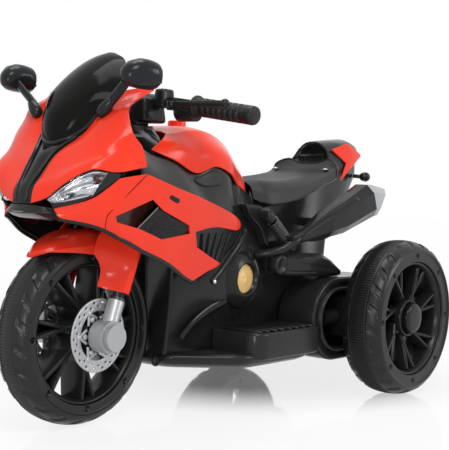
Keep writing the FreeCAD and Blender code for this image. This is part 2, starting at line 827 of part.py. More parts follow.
def brake_lever(side, left):
    """A lever on an upright pin, running outwards ahead of the grip to a ball end."""
    pivot = lever_pivot(left)
    thick = size("lever_thickness")
    low = pivot - UPWARD * (num("lever_thickness") / 2)
    eye = cylinder(f"lever_eye_{side}", size("lever_width") * 0.75, thick, low)
    blade_length = size("lever_length") - size("lever_width") * 0.2
    corner = V(low.x - num("lever_width") / 2, low.y if left > 0 else low.y - float(blade_length), low.z)
    blade = box(f"lever_blade_{side}", size("lever_width"), blade_length, thick, corner)
    ball = sphere(f"lever_ball_{side}", size("lever_width") * 0.62, pivot + SIDEWAYS * (left * num("lever_length")))
    hole = cylinder(f"lever_hole_{side}", size("lever_pin_radius") + size("running_gap"), thick * 2,
                    low - UPWARD * (num("lever_thickness") / 2))
    made = cut(f"brake_lever_{side}", fuse(f"brake_lever_raw_{side}", eye, blade, ball), hole)
    return node(made, f"brake_lever_{side}")


# Fairing panels
COWL_LEFT = points(
    [(660, 18, 300), (655, 40, 308), (648, 64, 327), (626, 91, 346), (596, 107, 343), (549, 115, 351)],
    [(657, 18, 318), (650, 42, 326), (640, 66, 341), (618, 91, 356), (590, 106, 358), (553, 115, 364)],
    [(643, 18, 336), (636, 42, 344), (624, 68, 356), (606, 91, 367), (583, 106, 372), (559, 114, 378)],
    [(622, 22, 364), (615, 44, 370), (606, 68, 378), (595, 89, 385), (583, 103, 389), (571, 111, 391)],
    [(592, 38, 391), (593, 50, 396), (590, 66, 402), (584, 80, 407), (577, 91, 411), (569, 99, 415)],
    [(577, 53, 418), (576, 60, 420), (575, 69, 422), (573, 79, 424), (570, 89, 426), (565, 95, 428)],
    [(556, 63, 446), (551, 69, 450), (542, 75, 453), (531, 80, 455), (519, 83, 455.5), (506, 85, 455)],
)
FAIRING_LEFT = points(
    [(646, 46, 294), (618, 87, 309), (592, 108.5, 335), (548, 115.5, 342), (484, 112.5, 325), (432, 107.5, 313.5),
     (421, 106, 310.5), (376, 100, 299), (332, 93.5, 285.5), (317, 90, 278)],
    [(645.5, 47, 292), (616, 87, 301), (592, 103, 287), (530, 110, 309), (507, 110, 294), (450, 106.2, 274),
     (434, 105, 275), (382, 101, 283), (330, 93.5, 275), (315, 90, 273)],
    [(645, 48, 290), (614, 86, 293), (588, 101, 279), (548, 106, 270), (505, 105, 256), (446, 104.2, 262.5),
     (433, 103.3, 265), (386, 100, 271), (328, 93, 265.5), (317, 90, 268)],
    [(644, 49, 288), (612, 85.5, 286), (584, 100, 273), (543, 104, 260), (498, 103, 246), (434, 100, 247),
     (425, 99, 243.5), (363, 92, 219), (340, 91, 215), (330, 90, 213)],
    [(643, 51, 285), (609, 84, 280), (580, 98.5, 266), (540, 101.5, 251), (490, 100, 235), (436, 96, 225),
     (427, 95, 221.5), (392, 91, 207), (370, 90, 203), (360, 89, 201)],
    [(642, 52, 283), (606, 82, 274), (575, 96, 259), (535, 99, 242), (482, 97, 223), (440, 92, 202),
     (436, 91.6, 200.5), (422, 90, 195), (400, 89, 192), (390, 88, 190)],
)
INTAKE_CELLS = [(1, 2), (1, 3), (1, 4)]
NOTCH_CELLS = [(2, 6), (2, 7), (2, 8), (3, 7), (3, 8), (4, 7), (4, 8)]


def pushed_in(rows, depth, inside=None):
    """The same grid moved inwards along its normals."""
    normals = normals_of(rows, inside or HEART)
    return [[p - n * depth for p, n in zip(row, line)] for row, line in zip(rows, normals)]


def side_intake():
    """The dark insert behind the opening in a side fairing."""
    behind = pushed_in(FAIRING_LEFT, num("skin_wall") + num("part_gap") * 4)
    upper = behind[1][2:6]
    lower = behind[2][2:6]
    lap = 0.12
    top = [a + (a - b) * lap for a, b in zip(upper, lower)]
    bottom = [b + (b - a) * lap for a, b in zip(upper, lower)]
    return skin("side_intake_left", [top, bottom], seam=0)


def side_grille():
    """The louvre plate that shows between the two rear points of a side fairing, with its curved trim bar."""
    plate = skin("grille_plate", points(
        [(440, 100, 266), (386, 96, 274), (345, 91, 270), (303, 84, 268)],
        [(430, 96, 248), (385, 90, 240), (345, 86, 243), (316, 82, 246)],
        [(428, 92, 222), (392, 87.3, 213), (366, 86, 214), (340, 80, 226)]))
    bar_radius = 5
    flattening = 0.7
    route = [(299, 86, 266), (303, 85.2, 254), (313, 84.6, 242), (330, 86, 228), (347, 88.4, 215),
             (362, 90, 204), (378, 90, 192)]
    rings = []
    for ahead, left, up in route:
        ring = []
        for k in range(8):
            turn = k * math.pi / 4
            along = bar_radius * flattening * math.cos(turn)
            ring.append(at(ahead + along, left + bar_radius * math.sin(turn), up + along))
        rings.append(ring)
    return [plate, loft("grille_bar", rings)]


WINDSHIELD = whole(
    [(606, 19, 383), (609, 10, 380), (611, 0, 378)],
    [(591, 36.5, 396), (606, 20, 397), (610, 0, 398)],
    [(576, 50.5, 419), (598, 28, 420), (604, 0, 421)],
    [(555, 60, 447), (581, 35, 445), (589, 0, 444)],
    [(535, 57, 468), (557, 33, 470), (566, 0, 470)],
    [(519, 43, 488), (534, 26, 490), (540, 0, 491)],
    [(508, 22, 503), (510, 12, 506), (511, 0, 508)],
)
NOSE_TRIM = whole(
    [(659.5, 17.7, 299), (661, 0, 299)],
    [(656.5, 17.7, 318), (659, 0, 318)],
    [(642.5, 17.7, 336.5), (646, 0, 337)],
    [(621.5, 21.6, 364), (627, 0, 364)],
    [(593, 37.3, 390), (611, 0, 377)],
)
CHIN = whole(
    [(640, 43.2, 294), (656, 24, 297.6), (660, 0, 298.4)],
    [(645, 45.4, 288), (662, 25, 288), (668, 0, 287)],
    [(624, 56, 281), (640, 30, 281), (646, 0, 281)],
    [(590, 72, 277), (597, 35, 276), (600, 0, 276)],
)
LENS_LEFT = points(
    [(654.6, 40.8, 307.2), (647.2, 64.3, 326), (625.5, 91.2, 345), (600, 105.6, 342)],
    [(653.5, 45, 303.5), (646.5, 67, 313.5), (628, 92, 326), (606, 105, 335)],
    [(651, 47, 300), (640, 67, 303), (622, 89, 312), (605, 102.5, 330)],
)


def front_fairing():
    for side, turn in (("left", list), ("right", mirrored)):
        node(skin(f"cowl_{side}", turn(COWL_LEFT)), f"cowl_{side}")
        node(skin(f"side_fairing_{side}", turn(FAIRING_LEFT), open_cells=INTAKE_CELLS + NOTCH_CELLS),
             f"side_fairing_{side}")
    node(pair("side_intakes", side_intake()), "side_intakes")
    plate, bar = side_grille()
    node(group("side_grilles", plate, bar, mirror("grille_plate_twin", plate), mirror("grille_bar_twin", bar)),
         "side_grilles")
    node(skin("windshield", WINDSHIELD, inside=at(500, 0, 420)), "windshield")
    node(skin("nose_trim", NOSE_TRIM), "nose_trim")
    node(skin("chin_panel", CHIN, inside=at(600, 0, 300)), "chin_panel")
    node(pair("headlight_lenses", skin("lens_left", LENS_LEFT)), "headlight_lenses")
    rim_rows = pushed_in(LENS_LEFT, num("skin_wall") + num("part_gap"))
    bowl = pushed_in(LENS_LEFT, num("lamp_depth"))
    lamp = skin("lamp_left", [rim_rows[0], bowl[1], rim_rows[2]])
    node(pair("headlight_housings", lamp), "headlight_housings")


MIRROR_CENTRE = (569, 118, 469)
MIRROR_BACK = 18


def mirror_housing():
    """A mirror shell on its stalk: the stalk stands on the cowl beside the windshield."""
    ahead, left, up = MIRROR_CENTRE
    rings = [octagon(ahead + 29, left - 6, up - 2, 5, 5), octagon(ahead + 20, left - 3, up - 1, 13, 11),
             octagon(ahead + 3, left, up, 19, 18), octagon(ahead - MIRROR_BACK, left, up - 1, 22, 18)]
    shell = loft("mirror_shell", rings)
    foot = at(579, 63, 423)
    shoulder = at(ahead + 10, left - 14, up - 8)
    aim = shoulder - foot
    stalk = cylinder("mirror_stalk", size("mirror_stalk_radius"), aim.Length, foot, aim)
    return fuse("mirror_left", shell, stalk)


def mirrors():
    left = mirror_housing()
    node(left, "mirror_left")
    node(mirror("mirror_right", left), "mirror_right")
    ahead, side, up = MIRROR_CENTRE
    front = ahead - MIRROR_BACK - num("part_gap")
    back = front - num("mirror_glass_thickness")
    glass = loft("mirror_glass", [octagon(front, side, up - 1, 19, 15), octagon(back, side, up - 1, 19, 15)])
    node(pair("mirror_glasses", glass), "mirror_glasses")


# Tank, knee panels, seat and tail
TANK = whole(
    [(499, 76, 376), (474, 69, 388), (446, 53, 399), (432, 30, 403), (428, 0, 404)],
    [(455, 84, 361), (440, 80, 382), (424, 56, 402), (416, 32, 408), (413, 0, 409)],
    [(415, 86, 346), (408, 83, 376), (400, 57, 406), (396, 33, 412), (394, 0, 413)],
    [(373, 88, 356), (372, 84, 379), (370, 56, 407), (368, 33, 412), (367, 0, 414)],
    [(336, 85, 347), (335, 80, 371), (335, 52, 400), (335, 30, 407), (335, 0, 410)],
    [(302, 72, 331), (300, 68, 352), (298, 44, 385), (296, 26, 394), (295, 0, 398)],
    [(272, 62, 322), (268, 56, 336), (266, 36, 360), (264, 22, 370), (263, 0, 375)],
    [(259, 52, 319), (255, 46, 329), (253, 30, 342), (252, 18, 347), (251, 0, 350)],
)
KNEE_LEFT = points(
    [(556, 84, 388), (505, 77, 371), (455, 80.6, 360), (415, 82.6, 345), (373, 84.6, 355), (338, 81.6, 346),
     (308, 70, 326)],
    [(553, 100, 362), (505, 97, 347), (450, 93, 338), (412, 89, 328), (372, 88, 328), (336, 85, 315), (308, 76, 305)],
    [(550, 111, 336), (484, 108.3, 319), (432, 103.5, 307.5), (400, 99, 299), (372, 95.5, 292), (336, 90, 281),
     (316, 84, 280)],
)
SEAT = whole(
    [(247, 59, 310.5), (246, 53.5, 327), (245, 42, 335), (245, 20, 336.5), (245, 0, 337)],
    [(232, 76, 304), (232, 70, 324), (232, 56, 338), (232, 24, 339), (232, 0, 339)],
    [(182, 83, 308), (182, 76, 326), (182, 58, 339.5), (182, 26, 336), (182, 0, 335)],
    [(122, 81, 323), (122, 74, 335), (122, 56, 345), (122, 26, 343.3), (122, 0, 343)],
    [(76, 74, 336), (76, 68.5, 345), (76, 54, 351), (76, 26, 351.7), (76, 0, 352)],
    [(40, 67.5, 344), (37, 66, 356.5), (35.5, 54, 360), (35.5, 24, 360.3), (35.5, 0, 360.3)],
    [(28, 64, 348), (28, 61.5, 368), (18, 42, 378), (21, 18, 371.5), (21, 0, 371)],
)
TAIL_COVER = whole(
    [(25.8, 61, 346), (20.3, 52.5, 366), (12.3, 38, 380), (8, 29.5, 394), (8.5, 16, 405), (9, 0, 408)],
    [(0, 56, 347.5), (-3, 51, 358), (-6, 42, 376.5), (-8, 30.5, 396), (-9, 18, 406.5), (-10, 0, 410.5)],
    [(-38, 49, 363), (-38, 44.5, 374), (-38, 38.3, 387.5), (-38, 31.5, 402), (-38, 20, 409.5), (-38, 0, 413)],
    [(-74, 37, 379), (-74.5, 35.5, 385), (-75, 33, 393), (-75.5, 28.5, 402), (-76, 19, 410), (-77, 0, 415.5)],
    [(-96, 24.5, 388), (-97, 24, 393), (-97, 22.5, 398), (-98, 19, 403), (-98, 11, 408), (-99, 0, 411)],
)
TAIL_NICHE = whole(
    [(13, 33.5, 376.5), (17, 18, 371), (17, 0, 371)],
    [(1, 29, 387), (-9, 15, 386), (-12, 0, 386)],
    [(5, 22, 396), (4, 11.5, 402.3), (3, 0, 404.2)],
)
TAIL_PANEL_LEFT = points(
    [(1, 35, 395.5), (-18, 35.5, 400.5), (-45, 36.5, 406), (-83, 38.5, 391)],
    [(-25, 49, 373.5), (-36, 48, 377.5), (-54, 45, 383.5), (-84, 39.3, 389)],
    [(15, 63.5, 342), (-10, 60, 356), (-40, 53, 369), (-82, 40.5, 386.5)],
)


def upper_body():
    node(skin("tank_cover_skin", TANK), "tank_cover")
    node(pair("knee_panels", skin("knee_left", KNEE_LEFT)), "knee_panels")
    cover = skin("tail_hump", TAIL_COVER)
    niche = skin("tail_niche", TAIL_NICHE, inside=at(-60, 0, 385))
    node(group("tail_cover", cover, niche), "tail_cover")
    node(pair("tail_panels", skin("tail_panel_left", TAIL_PANEL_LEFT)), "tail_panels")
    holes = [cylinder(f"seat_hole_{k}", size("screw_shank_radius") + size("part_gap"), size("screw_length") * 3,
                      seat_screw(left) - UPWARD * num("screw_length") * 1.5)
             for k, left in enumerate((1, -1))]
    node(cut("seat", skin("seat_skin", SEAT, wall=num("seat_wall")), *holes), "seat")


def seat_screw(left):
    return at(42, left * 51, 360.6)


def screws():
    made = []
    for k, left in enumerate((1, -1)):
        head = cylinder(f"screw_head_{k}", size("screw_head_radius"), size("screw_head_height"), seat_screw(left))
        shank = cylinder(f"screw_shank_{k}", size("screw_shank_radius"), size("screw_length"),
                         seat_screw(left) - UPWARD * num("screw_length"))
        made.append(fuse(f"seat_screw_{k}", head, shank))
    node(group("seat_screws", *made), "seat_screws")


def rear_indicators():
    """A short stalk with a round lamp below each side of the tail."""
    foot = at(-68, 35.9, 352)
    lamp = at(-82, 52, 351)
    stalk = cylinder("indicator_stalk", size("indicator_stalk_radius"), (lamp - foot).Length, foot, lamp - foot)
    ball = sphere("indicator_lamp", size("indicator_radius"), lamp)
    node(pair("rear_indicators", fuse("indicator_left", stalk, ball)), "rear_indicators")


# Main body shells, belly tray and footboards
BODY_LEFT = points(
    [(423, PARTING, 89), (423, PARTING, 96), (422, PARTING, 124), (421, PARTING, 186), (424, PARTING, 240),
     (430, PARTING, 262), (431, PARTING, 268)],
    [(425, PARTING, 89), (437, 54, 89), (437, 58, 124), (437, 63, 186), (437, 64, 240), (437, 60, 265),
     (437, 30, 270)],
    [(400, PARTING, 89), (400, 55, 89), (400, 58, 124), (400, 70, 186), (400, 74, 240), (400, 76, 290),
     (400, 57, 294)],
    [(340, PARTING, 89), (340, 55, 89), (340, 57.5, 124), (340, 73, 164), (340, 76, 240), (340, 76, 292),
     (340, 57, 296)],
    [(286, PARTING, 89), (286, 55, 89), (286, 57.5, 124), (286, 73, 164), (286, 76, 240), (286, 71, 298),
     (286, 54, 304)],
    [(252, PARTING, 89), (252, 55, 89), (252, 57.5, 124), (252, 71, 164), (252, 74, 240), (252, 64, 292),
     (252, 48, 296)],
    [(232, PARTING, 89), (232, 55, 89), (232, 57.5, 124), (232, 70, 164), (232, 73, 240), (232, 56, 311),
     (232, 44, 333)],
    [(182, PARTING, 89), (182, 55, 89), (182, 57.5, 124), (182, 66, 186), (182, 66, 240), (182, 70, 314),
     (182, 53, 330)],
    [(122, PARTING, 89), (122, 55, 89), (122, 57.5, 124), (122, 66, 186), (122, 66, 240), (122, 68, 326),
     (122, 53, 337)],
    [(60, PARTING, 112), (60, 52, 112), (60, 57.5, 140), (60, 66, 186), (60, 66, 240), (60, 55, 343), (60, 43, 348)],
    [(14, PARTING, 206), (14, 40, 206), (14, 46, 216), (14, 50, 236), (14, 52, 270), (14, 49, 350), (14, 38, 352)],
    [(-30, PARTING, 290), (-30, 34, 290), (-30, 38, 297), (-30, 41, 308), (-30, 43, 325), (-30, 44, 355),
     (-30, 32, 359)],
    [(-78, PARTING, 342), (-78, 26, 342), (-78, 29, 346), (-78, 31, 352), (-78, 32, 360), (-78, 31.5, 374),
     (-78, 22, 377)],
)
COVER_SPOT = (288, 75, 192)


def body_half(side, turn, left):
    """One half of the main body, open along the top."""
    shell = skin(f"body_{side}", turn(BODY_LEFT), inside=at(250, left * 20, 230), seam=0)
    node(shell, f"body_{side}")


def engine_cover():
    """The shallow round cover on the side of the body: a disc with a raised rim."""
    place = at(*COVER_SPOT)
    disc = cylinder("cover_disc", size("disc_cover_radius"), size("disc_cover_height"), place, SIDEWAYS)
    floor = size("disc_cover_height") / 2
    dish = cylinder("cover_dish", size("disc_cover_radius") - size("skin_wall"), floor,
                    place + SIDEWAYS * float(floor), SIDEWAYS)
    return cut("engine_cover_left", disc, dish)


def main_body():
    body_half("left", list, 1)
    body_half("right", mirrored, -1)
    node(pair("engine_covers", engine_cover()), "engine_covers")


BELLY_TOP = at(0, 0, 88.5).z


def belly_pan():
    """The tray under the body: wide below the footboards and narrow behind the front wheel."""
    body = new_body("belly_pan", V(0, 0, BELLY_TOP))

    def outline(name, margin):
        drawn = sketch_on(body, "XY_Plane", name)
        front = at(432, 0, 0).x - margin
        step = at(352, 0, 0).x - margin
        back = at(186, 0, 0).x + margin
        wide = at(0, 136, 0).y - margin
        narrow = at(0, 56, 0).y - margin
        polygon(drawn, [(front, -narrow), (front, narrow), (step, wide), (back, wide), (back, -wide), (step, -wide)])
        return drawn

    pad(body, outline("belly_outline", 0), size("belly_depth"), "belly_block", reverse=True)
    pocket(body, outline("belly_hollow_outline", num("belly_wall")), "belly_hollow",
           depth=size("belly_depth") - size("belly_wall"))
    node(body, "belly_pan")


FOOT_BACK = at(184, 0, 0).x
FOOT_IN = at(0, 58.5, 0).y


def footboard(side, left):
    """A hollow step with raised tread bars across its top."""
    body = new_body(f"footboard_{side}", V(FOOT_BACK, left * FOOT_IN, BELLY_TOP + num("part_gap")))
    length = size("footboard_length")
    width = size("footboard_width")
    corner = size("footboard_corner")
    wall = size("footboard_wall")
    zero = Size.of(0)
    flip = Size.of(left)
    top = sketch_on(body, "XY_Plane", f"footboard_outline_{side}")
    polygon(top, [(zero, zero), (length, zero), (length, (width - corner) * flip), (length - corner, width * flip),
                  (corner / 2, width * flip), (zero, (width - corner / 2) * flip)])
    pad(body, top, size("footboard_height"), f"footboard_block_{side}")
    hollow = sketch_on(body, "XY_Plane", f"footboard_hollow_outline_{side}")
    polygon(hollow, [(wall, wall * flip), (length - wall, wall * flip), (length - wall, (width - corner) * flip),
                     (length - corner, (width - wall) * flip), (corner / 2, (width - wall) * flip),
                     (wall, (width - corner / 2) * flip)])
    pocket(body, hollow, f"footboard_hollow_{side}", depth=size("footboard_height") - wall, reverse=True)
    bars = sketch_on(body, "XY_Plane", f"tread_bar_outline_{side}")
    bar_width = size("tread_bar_width")
    polygon(bars, [(wall, wall * 2 * flip), (wall + bar_width, wall * 2 * flip),
                   (wall + bar_width, (width - corner) * flip), (wall, (width - corner) * flip)])
    bars.AttachmentOffset = moved(V(0, 0, num("footboard_height")))
    bar = pad(body, bars, size("tread_bar_height"), f"tread_bar_{side}")
    rows = body.newObject("PartDesign::LinearPattern", f"tread_bars_{side}")
    rows.Originals = [bar]
    rows.Direction = (plane_of(body, "X_Axis"), [""])
    rows.setExpression("Length", (length - wall * 2 - bar_width).text)
    rows.setExpression("Occurrences", size("tread_bar_count").text)
    body.Tip = rows
    doc.recompute()
    return body


# Accelerator pedal on the right footboard
FOOT_TOP = BELLY_TOP + num("part_gap") + num("footboard_height") + num("tread_bar_height")
PEDAL_HINGE = V(FOOT_BACK + num("footboard_length") * 0.52, -FOOT_IN - num("footboard_width") * 0.42,
                FOOT_TOP + num("pedal_thickness"))
PEDAL_SLOPE = 12


def accelerator():
    """A sloping pedal hinged along its rear edge on a pin between two lugs of the right footboard."""
    barrel = num("pedal_thickness") * 0.75
    width = num("pedal_width")
    pin = num("pedal_pin_radius")
    start = PEDAL_HINGE - SIDEWAYS * (width / 2)
    roll = cylinder("pedal_barrel", barrel, size("pedal_width"), start, SIDEWAYS)
    plate = box("pedal_plate", size("pedal_length"), size("pedal_width"), size("pedal_thickness"), start,
                FreeCAD.Rotation(SIDEWAYS, -PEDAL_SLOPE))
    hole = cylinder("pedal_hole", size("pedal_pin_radius") + size("running_gap"), width * 1.2,
                    start - SIDEWAYS * width * 0.1, SIDEWAYS)
    node(cut("accelerator_pedal", fuse("pedal_raw", roll, plate), hole), "accelerator_pedal")
    lug = num("footboard_wall")
    floor = FOOT_TOP - num("tread_bar_height") - num("footboard_wall") / 2
    lugs = []
    for k, y in enumerate((start.y - num("part_gap") - lug, start.y + width + num("part_gap"))):
        lugs.append(box(f"pedal_lug_{k}", barrel * 2, lug, PEDAL_HINGE.z + pin * 1.6 - floor,
                        V(PEDAL_HINGE.x - barrel, y, floor)))
    rod = cylinder("pedal_pin", size("pedal_pin_radius"), width + 2 * (num("part_gap") + lug),
                   start - SIDEWAYS * (num("part_gap") + lug), SIDEWAYS)
    node(fuse("footboard_right_whole", footboard("right", -1), rod, *lugs), "footboard_right")


# Rear drive
HOUSING_IN = at(0, 66, 0).y + num("part_gap")


def axle_housing(side, left):
    """The deep round-ended casing inside a rear wheel, open outwards over its gearbox."""
    body = new_body(f"axle_housing_{side}", REAR_AXLE + SIDEWAYS * (left * HOUSING_IN))
    flip = left < 0

    def stadium(name, radius):
        drawn = sketch_on(body, "XZ_Plane", name)
        far = size("housing_length")
        top = drawn.addGeometry(Part.LineSegment(V(0, float(radius), 0), V(float(far), float(radius), 0)), False)
        low = drawn.addGeometry(Part.LineSegment(V(float(far), -float(radius), 0), V(0, -float(radius), 0)), False)
        front = drawn.addGeometry(Part.ArcOfCircle(Part.Circle(V(float(far), 0, 0), UPWARD, float(radius)),
                                                   -math.pi / 2, math.pi / 2), False)
        rear = drawn.addGeometry(Part.ArcOfCircle(Part.Circle(V(0, 0, 0), UPWARD, float(radius)),
                                                  math.pi / 2, 3 * math.pi / 2), False)
        joins = ((top, 2, front, 2), (front, 1, low, 1), (low, 2, rear, 2), (rear, 1, top, 1))
        for line, end, other, start in joins:
            drawn.addConstraint(Sketcher.Constraint("Coincident", line, end, other, start))
        pin_point(drawn, top, 1, Size.of(0), radius)
        pin_point(drawn, top, 2, far, radius)
        pin_point(drawn, low, 1, far, -radius)
        pin_point(drawn, low, 2, Size.of(0), -radius)
        for arc, middle in ((front, far), (rear, Size.of(0))):
            index = drawn.addConstraint(Sketcher.Constraint("DistanceX", arc, 3, float(middle)))
            drawn.setExpression(f"Constraints[{index}]", middle.text)
        return drawn

    pad(body, stadium(f"housing_outline_{side}", size("housing_radius")), size("housing_depth"),
        f"housing_block_{side}", reverse=not flip)
    recess = stadium(f"housing_recess_outline_{side}", size("housing_radius") - size("housing_wall"))
    recess.AttachmentOffset = moved(V(0, 0, -left * num("housing_depth")))
    pocket(body, recess, f"housing_recess_{side}", depth=size("housing_recess"), reverse=not flip)
    hole = sketch_on(body, "XZ_Plane", f"housing_axle_hole_{side}")
    circle(hole, Size.of(0), Size.of(0), size("axle_radius") + size("running_gap"))
    pocket(body, hole, f"housing_axle_bore_{side}")
    return body


def rear_drive():
    for side, left in (("left", 1), ("right", -1)):
        node(axle_housing(side, left), f"axle_housing_{side}")
    reach = size("track") + size("rear_hub_length") - size("hub_cap_height") * 2
    start = REAR_AXLE - SIDEWAYS * (float(reach) / 2)
    node(cylinder("rear_axle", size("axle_radius"), reach, start, SIDEWAYS), "rear_axle")
    floor_y = HOUSING_IN + num("housing_depth") - num("housing_recess") + num("part_gap")
    half = (num("housing_radius") - num("housing_wall")) * 0.62
    corner = V(REAR_AXLE.x - half, floor_y, REAR_AXLE.z - half)
    casing = box("gearbox_block", half * 2 + num("housing_length") * 0.4, size("gearbox_width"), half * 2, corner)
    bore = cylinder("gearbox_bore", size("axle_radius") + size("running_gap"), num("gearbox_width") * 1.2,
                    REAR_AXLE + SIDEWAYS * (floor_y - 2), SIDEWAYS)
    gearbox = cut("gearbox_left", casing, bore)
    front = REAR_AXLE.x + half + num("housing_length") * 0.4 + num("part_gap")
    motor = cylinder("motor_left", size("motor_radius"), size("motor_length"),
                     V(front, floor_y + num("motor_radius"), REAR_AXLE.z), V(1, 0, 0))
    node(group("drive_units", gearbox, motor, mirror("gearbox_right", gearbox), mirror("motor_right", motor)),
         "drive_units")


def battery():
    corner = V(at(262, 0, 0).x, -num("battery_width") / 2, at(0, 0, 92).z + num("part_gap"))
    node(box("battery", size("battery_length"), size("battery_width"), size("battery_height"), corner), "battery")


# Exhaust silencers, swing arms and shock absorbers. The silencer ends square to its rising axis and its tip is cut aslant.
CAN_LEAN = 0.4
TIP_LEAN = -0.75


def mufflers():
    """A faceted silencer that rises to the rear, hung on a stub from the body, with a bright hollow tip."""
    can = loft("muffler_can", [octagon(208, 118.5, 253, 7, 7), octagon(176, 117, 263, 13, 13),
                               octagon(140, 117, 274, 19, 20), octagon(100, 118, 285, 21, 25),
                               octagon(66, 119, 298, 22, 27), octagon(28, 120, 312, 22, 26, CAN_LEAN)])
    foot = at(118, 67.3, 275)
    stub = cylinder("muffler_stub", size("muffler_stub_radius"), at(118, 112, 275).y - foot.y, foot, SIDEWAYS)
    node(pair("mufflers", fuse("muffler_left", can, stub)), "mufflers")
    tip = loft("tip_outer", [octagon(27.3, 120, 312, 21.5, 26, CAN_LEAN), octagon(14, 120, 313, 21, 25, CAN_LEAN),
                             octagon(-10, 120, 314, 14, 18, TIP_LEAN)])
    hollow = loft("tip_hollow", [octagon(6, 120, 313.5, 14, 18, TIP_LEAN), octagon(-22, 120, 315, 8, 11, TIP_LEAN)])
    node(pair("muffler_tips", cut("muffler_tip_left", tip, hollow)), "muffler_tips")


def swing_arms():
    """The moulded arm that lies along the top of an axle housing up to its pivot boss."""
    arm = loft("swing_arm_left", [octagon(246, 93, 213, 9, 13), octagon(210, 97, 212, 12, 17),
                                  octagon(168, 102, 211, 14, 18), octagon(136, 105, 209.5, 14, 18),
                                  octagon(106, 106, 203, 13, 12.4), octagon(86, 106, 196.2, 12, 5.6)])
    node(pair("swing_arms", arm), "swing_arms")


SHOCK_TOP = at(266, 100, 290)
SHOCK_LOW = at(204, 100, 240)


def biarc(start, start_way, end, end_way):
    """Two arcs that leave one point and reach another along the given directions and meet smoothly."""
    across = end - start
    both = start_way + end_way
    spread = 2 * (1 - start_way.dot(end_way))
    along = across.dot(both)
    reach = (math.sqrt(along * along + spread * across.dot(across)) - along) / spread
    first = start + start_way * reach
    second = end - end_way * reach
    meeting = (first + second) * 0.5
    arcs = []
    for begin, corner, finish in ((start, first, meeting), (meeting, second, end)):
        middle = (begin + finish) * 0.5
        half = (finish - begin).Length / 2
        rise = half * math.tan(math.acos(half / reach) / 2)
        arcs.append(Part.Arc(begin, middle + (corner - middle).normalize() * rise, finish).toShape())
    return arcs


def least_gap(path, turns):
    """The least clear distance between points of the wire that lie more than half a turn apart."""
    per_edge = 5
    line = [spot for edge in path.OrderedEdges for spot in edge.discretize(per_edge)[:-1]]
    apart = int(len(line) / turns * 0.6)
    nearest = min((line[k] - line[m]).Length for k in range(len(line)) for m in range(k + apart, len(line)))
    return nearest - 2 * num("spring_wire_radius")


def spring_coil():
    """One unbroken coil spring round the damper, from quarter-turn pairs of arcs."""
    axis = SHOCK_TOP - SHOCK_LOW
    lift = num("shock_eye_radius") + 2 * num("spring_wire_radius")
    turns = num("spring_coils")
    radius = num("spring_radius")
    pitch = (axis.Length - 2 * lift) / turns
    quarters = 4

    def on_helix(turn):
        angle = 2 * math.pi * turn
        return V(radius * math.cos(angle), radius * math.sin(angle), pitch * turn)

    def way_at(turn):
        angle = 2 * math.pi * turn
        return V(-radius * math.sin(angle), radius * math.cos(angle), pitch / (2 * math.pi)).normalize()

    edges = []
    for k in range(int(turns) * quarters):
        start = k / quarters
        end = (k + 1) / quarters
        edges += biarc(on_helix(start), way_at(start), on_helix(end), way_at(end))
    path = Part.Wire(edges)
    section = Part.Wire([Part.Circle(on_helix(0), way_at(0), num("spring_wire_radius")).toShape()])
    coil = path.makePipeShell([section], True, False)
    print("spring: least gap between turns", round(least_gap(path, turns), 2), "mm")
    return feature("shock_spring_left", coil, aimed(SHOCK_LOW + axis.normalize() * lift, SHOCK_TOP - SHOCK_LOW))


def shocks():
    node(pair("shock_springs", spring_coil()), "shock_springs")
    axis = SHOCK_TOP - SHOCK_LOW
    rod = cylinder("damper_rod", size("damper_radius"), axis.Length, SHOCK_LOW, axis)
    eyes = []
    walls = (70.5, 76.2)
    for k, (spot, wall_y) in enumerate(zip((SHOCK_LOW, SHOCK_TOP), walls)):
        start = V(spot.x, at(0, wall_y, 0).y, spot.z)
        eyes.append(cylinder(f"shock_eye_{k}", size("shock_eye_radius"), spot.y + num("shock_eye_radius") - start.y,
                             start, SIDEWAYS))
    node(pair("shock_dampers", fuse("shock_damper_left", rod, *eyes)), "shock_dampers")


# Steering head, dashboard and its controls
DASH_Z = at(0, 0, 396).z
DASH_BACK = at(482, 0, 0).x
DASH_FRONT = at(545, 0, 0).x
DASH_HALF = at(0, 46, 0).y
DASH_THICK = num("dash_thickness")
BUTTON_SPOT = V(at(515, 0, 0).x, at(0, 26, 0).y, DASH_Z)
ROCKER_SPOT = V(at(515, 0, 0).x, 0, DASH_Z)
SOCKET_SPOT = V(at(493, 0, 0).x, at(0, -26, 0).y, DASH_Z)
ROCKER_AXIS = ROCKER_SPOT - UPWARD * (DASH_THICK + num("rocker_barrel_radius"))


def steering_head():
    """The tube that carries the stem, its beam back between the body halves and its arms to the fairings."""
    start = float(fork_reach) + num("crown_height") / 2 + num("head_lift")
    tube = cylinder("head_tube", size("head_radius"), size("head_length"), on_fork(start), STEER_UP)
    beam_low = at(0, 0, 296.6).z
    beam_back = at(345, 0, 0).x
    beam_half = at(0, 62, 0).y
    into_tube = 20
    beam = box("head_beam", on_fork(start + into_tube).x - beam_back, beam_half * 2, size("head_beam_height"),
               V(beam_back, -beam_half, beam_low))
    arm = box("head_arm", at(560, 0, 0).x - at(484, 0, 0).x, at(0, 190, 0).y, size("head_arm_thickness"),
              V(at(484, 0, 0).x, at(0, -95, 0).y, at(0, 0, 330).z))
    post = box("dash_post", size("dash_post_depth"), size("dash_post_width"),
               DASH_Z - DASH_THICK - num("part_gap") - at(0, 0, 330).z,
               V(at(486, 0, 0).x, -num("dash_post_width") / 2, at(0, 0, 330).z))
    bore = cylinder("head_bore", size("stem_radius") + size("running_gap"), num("head_length") * 2,
                    on_fork(start - num("head_length") / 2), STEER_UP)
    node(cut("steering_head", fuse("steering_head_raw", tube, beam, arm, post), bore), "steering_head")


